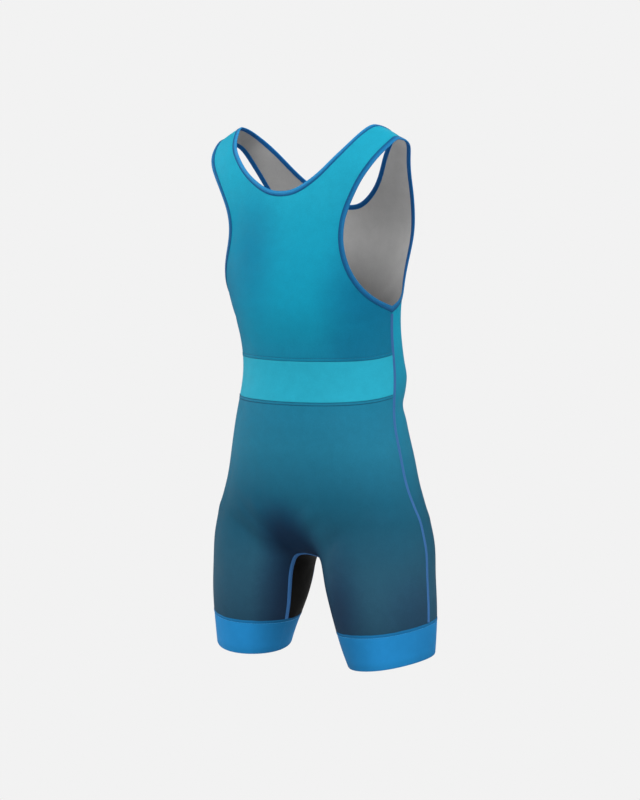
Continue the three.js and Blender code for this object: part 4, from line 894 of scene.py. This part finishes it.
def tape_material(name, col, dark, bands=None):
    """tape folded or stitched down: fine crosswise ribs; bands are (distance across in m, colour)"""
    n = Nodes(name).coords(); rib = n.rib(0.0009, 1)
    if bands:
        w = bands[-1][0]; c = n.ramp(n.math("DIVIDE", n.su.outputs[0], w), [(x / w, k) for x, k in bands], "LINEAR")
        # painted light: banded tape is lighter towards the tops of the straps and darker lower down
        c = n.scale(c, n.math("MULTIPLY", n.remap(n.noise(500, 2, 0.6), 0.3, 0.7, 0.90, 1.08), n.remap(n.sx.outputs[2], -0.20, -0.05, 0.88, 1.22)))
    else: c = n.mix(n.remap(n.noise(500, 2, 0.6), 0.3, 0.7, 0, 0.35), (*col, 1), (*dark, 1))
    c = n.scale(c, n.remap(rib, 0, 1, 0.93, 1.04))
    return n.done(c, n.remap(n.noise(90, 2), 0.3, 0.7, 0.5, 0.65), n.bump(rib, 0.00012, 0.6), 0.0, 0.4, (1, 1, 1, 1), 0.06)


def bind_bands(light, mid):
    """across the folded tape: lighter at its fold as a painted highlight, navy along the needle line and deep navy
    inside as painted shade, with a lighter edge painted as a highlight
    """
    navy, deep = (.006, .084, .205), (.005, .075, .235)
    return [(0, light), (0.0032, light), (0.0045, mid), (0.0057, mid), (0.0070, navy), (0.0092, navy), (0.0104, (.008, .130, .360)), (0.0124, deep), (0.0176, deep), (0.0196, (.009, .145, .380))]


m_bind = tape_material("binding_neck", None, None, bind_bands((.022, .205, .430), (.014, .150, .340)))
# painted shade: the armhole tape is a darker copy of the neck tape
m_bind_arm = tape_material("binding_armhole", None, None, bind_bands((.012, .140, .320), (.008, .110, .270)))
m_seam = tape_material("flat_seam", (.034, .125, .300), (.018, .085, .230))


def thread(name, col):
    n = Nodes(name).coords(); tw = n.noise(1800, 1, 0.5)
    c = n.scale(col, n.remap(tw, 0.3, 0.7, 0.85, 1.12)); return n.done(c, n.remap(tw, 0.3, 0.7, 0.42, 0.6), n.bump(tw, 0.00008, 0.5), 0.0, 0.4, (1, 1, 1, 1), 0.15)


m_thread_dark = thread("thread_dark", srgb(18, 80, 112))
m_thread_low = thread("thread_low", srgb(12, 60, 92))
m_thread_blue = thread("thread_blue", srgb(70, 165, 225))
m_thread_navy = thread("thread_navy", srgb(12, 62, 118))
m_thread_seam = thread("thread_seam", srgb(64, 98, 156))

# =====================================================================
# 5. Pieces
# =====================================================================
def side_sink(P, G_arc=None):
    """the cloth sinks slightly towards the seam at its side"""
    d = arc(P, 0); d = d[-1:] - d; return -0.35 * np.exp(-(d / 3.0) ** 2)


def row_d(P): return arc(P, 1)                       # distance from the bottom row
def row_u(P): d = arc(P, 1); return d[:, -1:] - d    # distance from the top row


# front bib
P, N = BIB
D = both(P) + (cover_seam(row_d(P)) + side_sink(P) * (row_d(P) < 110))[..., None]
panel("front_bib_cloth", BIB, [m_front, m_inside], D)
# waistband
P, N = BANDG
sink = -0.25 * np.exp(-(row_d(P) / 0.9) ** 2) - 0.25 * np.exp(-(row_u(P) / 0.9) ** 2)
panel("waistband_cloth", BANDG, [m_band, m_inside], both(P) * 0.5 + (0.15 + sink + side_sink(P))[..., None])
# front lower
P, N = LOWF
D = both(P) + (cover_seam(row_u(P)) + side_sink(P))[..., None]
panel("front_lower_cloth", LOWF, [m_lower, m_inside], D)
# back
P, N = BACK
panel("back_cloth", BACK, [m_back, m_inside], both(P) + (side_sink(P) * (P[:, :, 2] < UNDERARM_Z - 12))[..., None])
# gusset
P, N = GUS
d0 = arc(P, 0); edge_d = np.minimum(d0, d0[-1:] - d0)
panel("gusset_cloth", GUS, [m_gusset, m_gusset_in], both(P) * np.clip(edge_d / 14, 0, 1)[..., None] - 0.3 * np.exp(-(edge_d / 3) ** 2)[..., None])

# cuffs
def cuff(name, G, sign):
    P, N = G; flipv = np.array([sign, 1, 1]); P, N = P * flipv, N * flipv; K, R = P.shape[:2]
    d = row_d(P); up = d[:, -1:] - d
    x, y, z = P[..., 0], P[..., 1], P[..., 2]; ang = np.arctan2(y - AY(z), np.abs(x) - AX(z))
    D = 0.45 * sstep(d / 0.8) * sstep((4.9 - d) / 0.7) - 0.25 * np.exp(-((d - 4.9) / 0.8) ** 2) - 0.3 * np.exp(-(d / 0.5) ** 2)
    D = D + 0.25 * np.sin(ang * 5 + 0.8 * sign) * np.sin(d / 17) - 0.5 * (1 - sstep(up / 1.6)) + 0.15
    V = P.reshape(-1, 3); NN = N.reshape(-1, 3); k = np.arange(K); j = np.arange(R - 1); a = k[:, None] * R + j; b = ((k + 1) % K)[:, None] * R + j
    quads = np.stack([a, b, b + 1, a + 1], -1).reshape(-1, 4)
    u = arc(np.concatenate([P, P[:1]]), 0)[:-1]; uv = np.stack([u, d], -1).reshape(-1, 2)
    ob = shell(name, V, NN, quads, [m_cuff, m_cuff_in], uv, D.ravel(), D.ravel() - 1.5)
    lines = []
    for at in (4.9,):
        Q = P + N * D[..., None]; idx = np.array([np.interp(at, d[i], np.arange(R)) for i in range(K)]); lo = np.floor(idx).astype(int); t = (idx - lo)[:, None]
        L_ = lerp(Q[k, lo], Q[k, np.minimum(lo + 1, R - 1)], t); Ln = unit(lerp(N[k, lo], N[k, np.minimum(lo + 1, R - 1)], t))
        lines.append((np.concatenate([L_, L_[:1]]), np.concatenate([Ln, Ln[:1]])))
    for at in (0.5,):
        Q = P + N * D[..., None]; idx = np.array([np.interp(at, d[i], np.arange(R)) for i in range(K)]); lo = np.floor(idx).astype(int); t = (idx - lo)[:, None]
        L_ = lerp(Q[k, lo], Q[k, np.minimum(lo + 1, R - 1)], t); Ln = unit(lerp(N[k, lo], N[k, np.minimum(lo + 1, R - 1)], t))
        lines.append((np.concatenate([L_, L_[:1]]), np.concatenate([Ln, Ln[:1]])))
    return ob, lines


_, cl = cuff("cuff_left_cloth", CUFF, 1)
_, cr = cuff("cuff_right_cloth", CUFF, -1)
stitches("cuff_left_stitches", cl[:1], m_thread_blue, 2.6, 2.0, 0.24)
stitches("cuff_right_stitches", cr[:1], m_thread_blue, 2.6, 2.0, 0.24)

# bindings
MIR = np.array([-1, 1, 1])
vs = np.linspace(0, N_NECK, 150); o, q = neck(vs)
E, I, nE, nI = chart(*o), chart(*q), chart_n(*o), chart_n(*q)
for A_ in (E, I): A_[[0, -1], 0] = 0
def add_mirror(A_): return np.concatenate([A_, A_[-2:0:-1] * MIR])
NB = [add_mirror(a) for a in (E, I, nE, nI)]
binding("neck_binding_tape", *NB, [m_bind])
vs = np.linspace(0, N_ARM, 190)[:-1]; o, q = arm(vs)
AB = [chart(*o), chart(*q), chart_n(*o), chart_n(*q)]
binding("armhole_left_tape", *AB, [m_bind_arm])
binding("armhole_right_tape", *[a * MIR for a in AB], [m_bind_arm])


def bind_line(B_, at, off):
    E_, I_, a_, b_ = B_; n_ = unit(a_ + b_); P_ = lerp(E_, I_, at / BIND_W) + n_ * off
    n2 = n_ if off > -0.5 else -n_
    return np.concatenate([P_, P_[:1]]), np.concatenate([n2, n2[:1]])


stitches("neck_binding_stitches", [bind_line(NB, 6.1, 0.36), bind_line(NB, 6.1, -1.68)], m_thread_navy, 3.0, 2.4, 0.24)
stitches("armhole_left_stitches", [bind_line(AB, 6.1, 0.36), bind_line(AB, 6.1, -1.68)], m_thread_navy, 3.0, 2.4, 0.24)
ABR = [a * MIR for a in AB]
stitches("armhole_right_stitches", [bind_line(ABR, 6.1, 0.36), bind_line(ABR, 6.1, -1.68)], m_thread_navy, 3.0, 2.4, 0.24)


# waistband stitches: two lines above and two below
def grid_line(G, D_, d, at, top=False):
    P_, N_ = G; dd = d[:, ::-1] if top else d
    Q = P_ + N_ * D_[..., None]; Q, NN = (Q[:, ::-1], N_[:, ::-1]) if top else (Q, N_)
    m, n = Q.shape[:2]; idx = np.array([np.interp(at, dd[i], np.arange(n)) for i in range(m)]); lo = np.clip(np.floor(idx).astype(int), 0, n - 2); t = (idx - lo)[:, None]; i = np.arange(m)
    return lerp(Q[i, lo], Q[i, lo + 1], t), unit(lerp(NN[i, lo], NN[i, lo + 1], t))


def both_sides(G, base, d, at, top=False):
    out = []
    for k, sg in ((0, 1), (1, -1)):
        P_, N_ = G; D_ = base[..., k]; l, n = grid_line((P_, N_), D_, d, at, top); out.append((l * np.array([sg, 1, 1]), n * np.array([sg, 1, 1])))
    (l0, n0), (l1, n1) = out
    keep = slice(0, -2)
    l0, n0, l1, n1 = l0[keep], n0[keep], l1[keep], n1[keep]
    return np.concatenate([l1[::-1], l0[1:]]), np.concatenate([n1[::-1], n0[1:]])


Db = both(BIB[0]) + (cover_seam(row_d(BIB[0])))[..., None]
Dl = both(LOWF[0]) + (cover_seam(row_u(LOWF[0])))[..., None]
stitches("waistband_upper_stitches", [both_sides(BIB, Db, row_d(BIB[0]), 0.55), both_sides(BIB, Db, row_d(BIB[0]), 4.9)], m_thread_dark, 3.0, 2.4, 0.26)
stitches("waistband_lower_stitches", [both_sides(LOWF, Dl, row_u(LOWF[0]), 0.55, True), both_sides(LOWF, Dl, row_u(LOWF[0]), 4.9, True)], m_thread_low, 2.8, 2.6, 0.38)

# side seams
cols = [(LOWF[0][-1], LOWF[0][-2], LOWF[1][-1]), (BANDG[0][-1], BANDG[0][-2], BANDG[1][-1]), (BIB[0][-1], BIB[0][-2], BIB[1][-1])]
nb = int(np.argmax(v_bib >= ROWS["side"] - 1e-6))
C0 = np.concatenate([cols[0][0][:-1], cols[1][0][:-1], cols[2][0][:nb + 1]])
N0 = np.concatenate([cols[0][2][:-1], cols[1][2][:-1], cols[2][2][:nb + 1]])
C1, N1 = resample(C0, [N0], 3.0)[:2]; C1[-1] = lerp(C1[-2], C1[-1], 0.3); C1[0] = lerp(C1[0], C1[1], 0.2)
N1 = unit(N1); tan = unit(np.gradient(C1, axis=0)); sd = unit(np.cross(N1, tan))
for sg, nm in ((1, "left"), (-1, "right")):
    Fv = np.array([sg, 1, 1]); Dd = set_of_cloth(C1 * Fv) - 0.35
    C = C1 * Fv + N1 * Fv * Dd[:, None]
    seam_tape("side_seam_%s_tape" % nm, C, sd * Fv, N1 * Fv, TAPE_W, [m_seam])
    ln = [(C + sd * Fv * a + N1 * Fv * 0.42, N1 * Fv) for a in (-0.66 * TAPE_W / 2, 0.66 * TAPE_W / 2)]
    stitches("side_seam_%s_stitches" % nm, ln, m_thread_seam, 2.4, 1.9, 0.22)

# gusset seams, from cuff to cuff over the arch
for front in (True, False):
    G = GUS; i = 0 if front else -1; j = 1 if front else -2
    C0, N0 = G[0][i], G[1][i]; Q0 = G[0][j]
    half = resample(C0, [N0], 3.0); C1, N1 = half[0], unit(half[1]); C1[0] = lerp(C1[0], C1[1], 0.2)
    C1[-1, 0] = 0; N1[-1, 0] = 0; N1 = unit(N1)
    C = np.concatenate([C1, C1[-2::-1] * MIR]); Nn = np.concatenate([N1, N1[-2::-1] * MIR])
    tan = unit(np.gradient(C, axis=0)); sd = unit(np.cross(Nn, tan))
    nm = "front" if front else "back"
    Cc = C - Nn * 0.25
    seam_tape("gusset_seam_%s_tape" % nm, Cc, sd, Nn, GTAPE_W, [m_seam], 1.0, -0.7)
    ln = [(Cc + sd * a + Nn * 0.5, Nn) for a in (-0.66 * GTAPE_W / 2, 0.66 * GTAPE_W / 2)]
    stitches("gusset_seam_%s_stitches" % nm, ln, m_thread_seam, 2.4, 1.9, 0.22)

# =====================================================================
# 6. What stands for what, and the cloth's cuts
# =====================================================================
# piece, CAD node, slot, cut width, cut length, cut area
CUTS = [
    ("front_bib_cloth", "front_bib", "gradient_knit_front", 0.40, 0.38, 0.081),
    ("waistband_cloth", "waistband_front", "waistband_knit", 0.38, 0.064, 0.0235),
    ("front_lower_cloth", "front_lower", "lower_knit", 0.60, 0.38, 0.155),
    ("back_cloth", "back_panel", "gradient_knit_back", 0.60, 0.80, 0.243),
    ("gusset_cloth", "gusset", "gusset_knit", 0.30, 0.16, 0.024),
    ("cuff_left_cloth", "cuff_left", "cuff_knit", 0.46, 0.056, 0.024),
    ("cuff_right_cloth", "cuff_right", "cuff_knit", 0.46, 0.056, 0.024),
    ("neck_binding_tape", "neck_binding", "binding", 0.012, 0.86, None),
    ("armhole_left_tape", "armhole_binding_left", "binding", 0.012, 0.68, None),
    ("armhole_right_tape", "armhole_binding_right", "binding", 0.012, 0.68, None),
]
for ob in PIECES.values(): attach(ob, "root")
for name, node, slot, w, l, area in CUTS:
    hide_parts(node)
for nm in ("side_seam_left", "side_seam_right", "gusset_seam_front", "gusset_seam_back"):
    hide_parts(nm)

# =====================================================================
# 7. Studio: pale floor and backdrop, soft light, the camera
# =====================================================================
def plain(name, col, emit=0.0):
    m = bpy.data.materials.new(name); m.use_nodes = True; b = m.node_tree.nodes["Principled BSDF"]
    b.inputs["Base Color"].default_value = (*col, 1); b.inputs["Roughness"].default_value = 0.95; b.inputs["Specular IOR Level"].default_value = 0.0
    if emit:
        b.inputs["Emission Color"].default_value = (*col, 1); b.inputs["Emission Strength"].default_value = emit
    return m


def stage_mesh(name, verts, faces, mat):
    me = bpy.data.meshes.new(name); me.from_pydata(verts, [], faces); me.materials.append(mat); me.update()
    ob = bpy.data.objects.new(name, me); bpy.context.scene.collection.objects.link(ob); return ob


PALE = srgb(242, 242, 242)


def floor_paper():
    """matt paper that lights the object as paper does, and looks as even as the backdrop behind it"""
    m = bpy.data.materials.new("floor_paper"); m.use_nodes = True; t = m.node_tree; t.nodes.clear(); nw = t.nodes.new
    lp, em, di, mx, ou = nw("ShaderNodeLightPath"), nw("ShaderNodeEmission"), nw("ShaderNodeBsdfDiffuse"), nw("ShaderNodeMixShader"), nw("ShaderNodeOutputMaterial")
    em.inputs[0].default_value = (*PALE, 1); em.inputs[1].default_value = 1.0; di.inputs[0].default_value = (0.70, 0.70, 0.70, 1)
    t.links.new(lp.outputs["Is Camera Ray"], mx.inputs[0]); t.links.new(di.outputs[0], mx.inputs[1]); t.links.new(em.outputs[0], mx.inputs[2]); t.links.new(mx.outputs[0], ou.inputs[0])
    return m


FLOOR_Z = -5.0
floor = stage_mesh("floor", [(-30, -30, FLOOR_Z), (30, -30, FLOOR_Z), (30, 30, FLOOR_Z), (-30, 30, FLOOR_Z)], [(0, 1, 2, 3)], floor_paper())
# backdrop: a far drum, seen only by the camera
nseg = 48; ring = [(28 * math.cos(2 * PI * i / nseg), 28 * math.sin(2 * PI * i / nseg)) for i in range(nseg)]
bv = [(x, y, FLOOR_Z - 0.5) for x, y in ring] + [(x, y, 30) for x, y in ring]
bf = [((i + 1) % nseg, i, i + nseg, (i + 1) % nseg + nseg) for i in range(nseg)] + [tuple(range(nseg, 2 * nseg))]
m = bpy.data.materials.new("backdrop_paper"); m.use_nodes = True; nt = m.node_tree; nt.nodes.clear()
em = nt.nodes.new("ShaderNodeEmission"); em.inputs[0].default_value = (*PALE, 1); em.inputs[1].default_value = 1.0
ou = nt.nodes.new("ShaderNodeOutputMaterial"); nt.links.new(em.outputs[0], ou.inputs[0])
drop = stage_mesh("backdrop", bv, bf, m)
drop.visible_diffuse = drop.visible_glossy = drop.visible_shadow = drop.visible_transmission = drop.visible_volume_scatter = False

world = bpy.data.worlds.new("studio"); bpy.context.scene.world = world; world.use_nodes = True
bg = world.node_tree.nodes["Background"]; bg.inputs[0].default_value = (1.0, 1.0, 1.0, 1); bg.inputs[1].default_value = 0.12


def sun(name, az, el, power, angle, col=(1, 1, 1)):
    """light from a compass direction: azimuth as the camera's, elevation above the floor"""
    d = bpy.data.lights.new(name, "SUN"); d.energy = power; d.angle = rad(angle); d.color = col
    ob = bpy.data.objects.new(name, d); bpy.context.scene.collection.objects.link(ob)
    a, e = rad(az), rad(el); v = (math.sin(a) * math.cos(e), -math.cos(a) * math.cos(e), math.sin(e))
    from mathutils import Vector
    ob.rotation_euler = Vector(v).to_track_quat("Z", "Y").to_euler(); return ob


sun("key", 25, 38, 0.95 * PI, 45)
sun("side_right", 118, 14, 0.50 * PI, 45)
sun("side_left", -85, 10, 0.50 * PI, 45)
sun("behind", 180, 35, 0.30 * PI, 50)
sun("overhead", 0, 88, 0.12 * PI, 50)

AZ, EL, DIST, FOCAL = rad(40), rad(4.57), 4.013, 2589.0
back = np.array([math.sin(AZ) * math.cos(EL), -math.cos(AZ) * math.cos(EL), math.sin(EL)]); right = np.array([math.cos(AZ), math.sin(AZ), 0.0])
target = np.array([0, 0.033, -0.425]) - 0.0023 * right
cam = bpy.data.cameras.new("camera"); cam_ob = bpy.data.objects.new("camera", cam); bpy.context.scene.collection.objects.link(cam_ob)
from mathutils import Vector, Matrix
cam_ob.location = Vector(target + back * DIST); cam_ob.rotation_euler = Vector(back).to_track_quat("Z", "Y").to_euler()
cam.sensor_fit = "AUTO"; cam.sensor_width = 36.0; cam.lens = FOCAL / 800 * 36.0; cam.clip_start = 0.1; cam.clip_end = 100
bpy.context.scene.camera = cam_ob
vs_ = bpy.context.scene.view_settings; vs_.view_transform = "Standard"; vs_.look = "None"; vs_.exposure = 0; vs_.gamma = 1
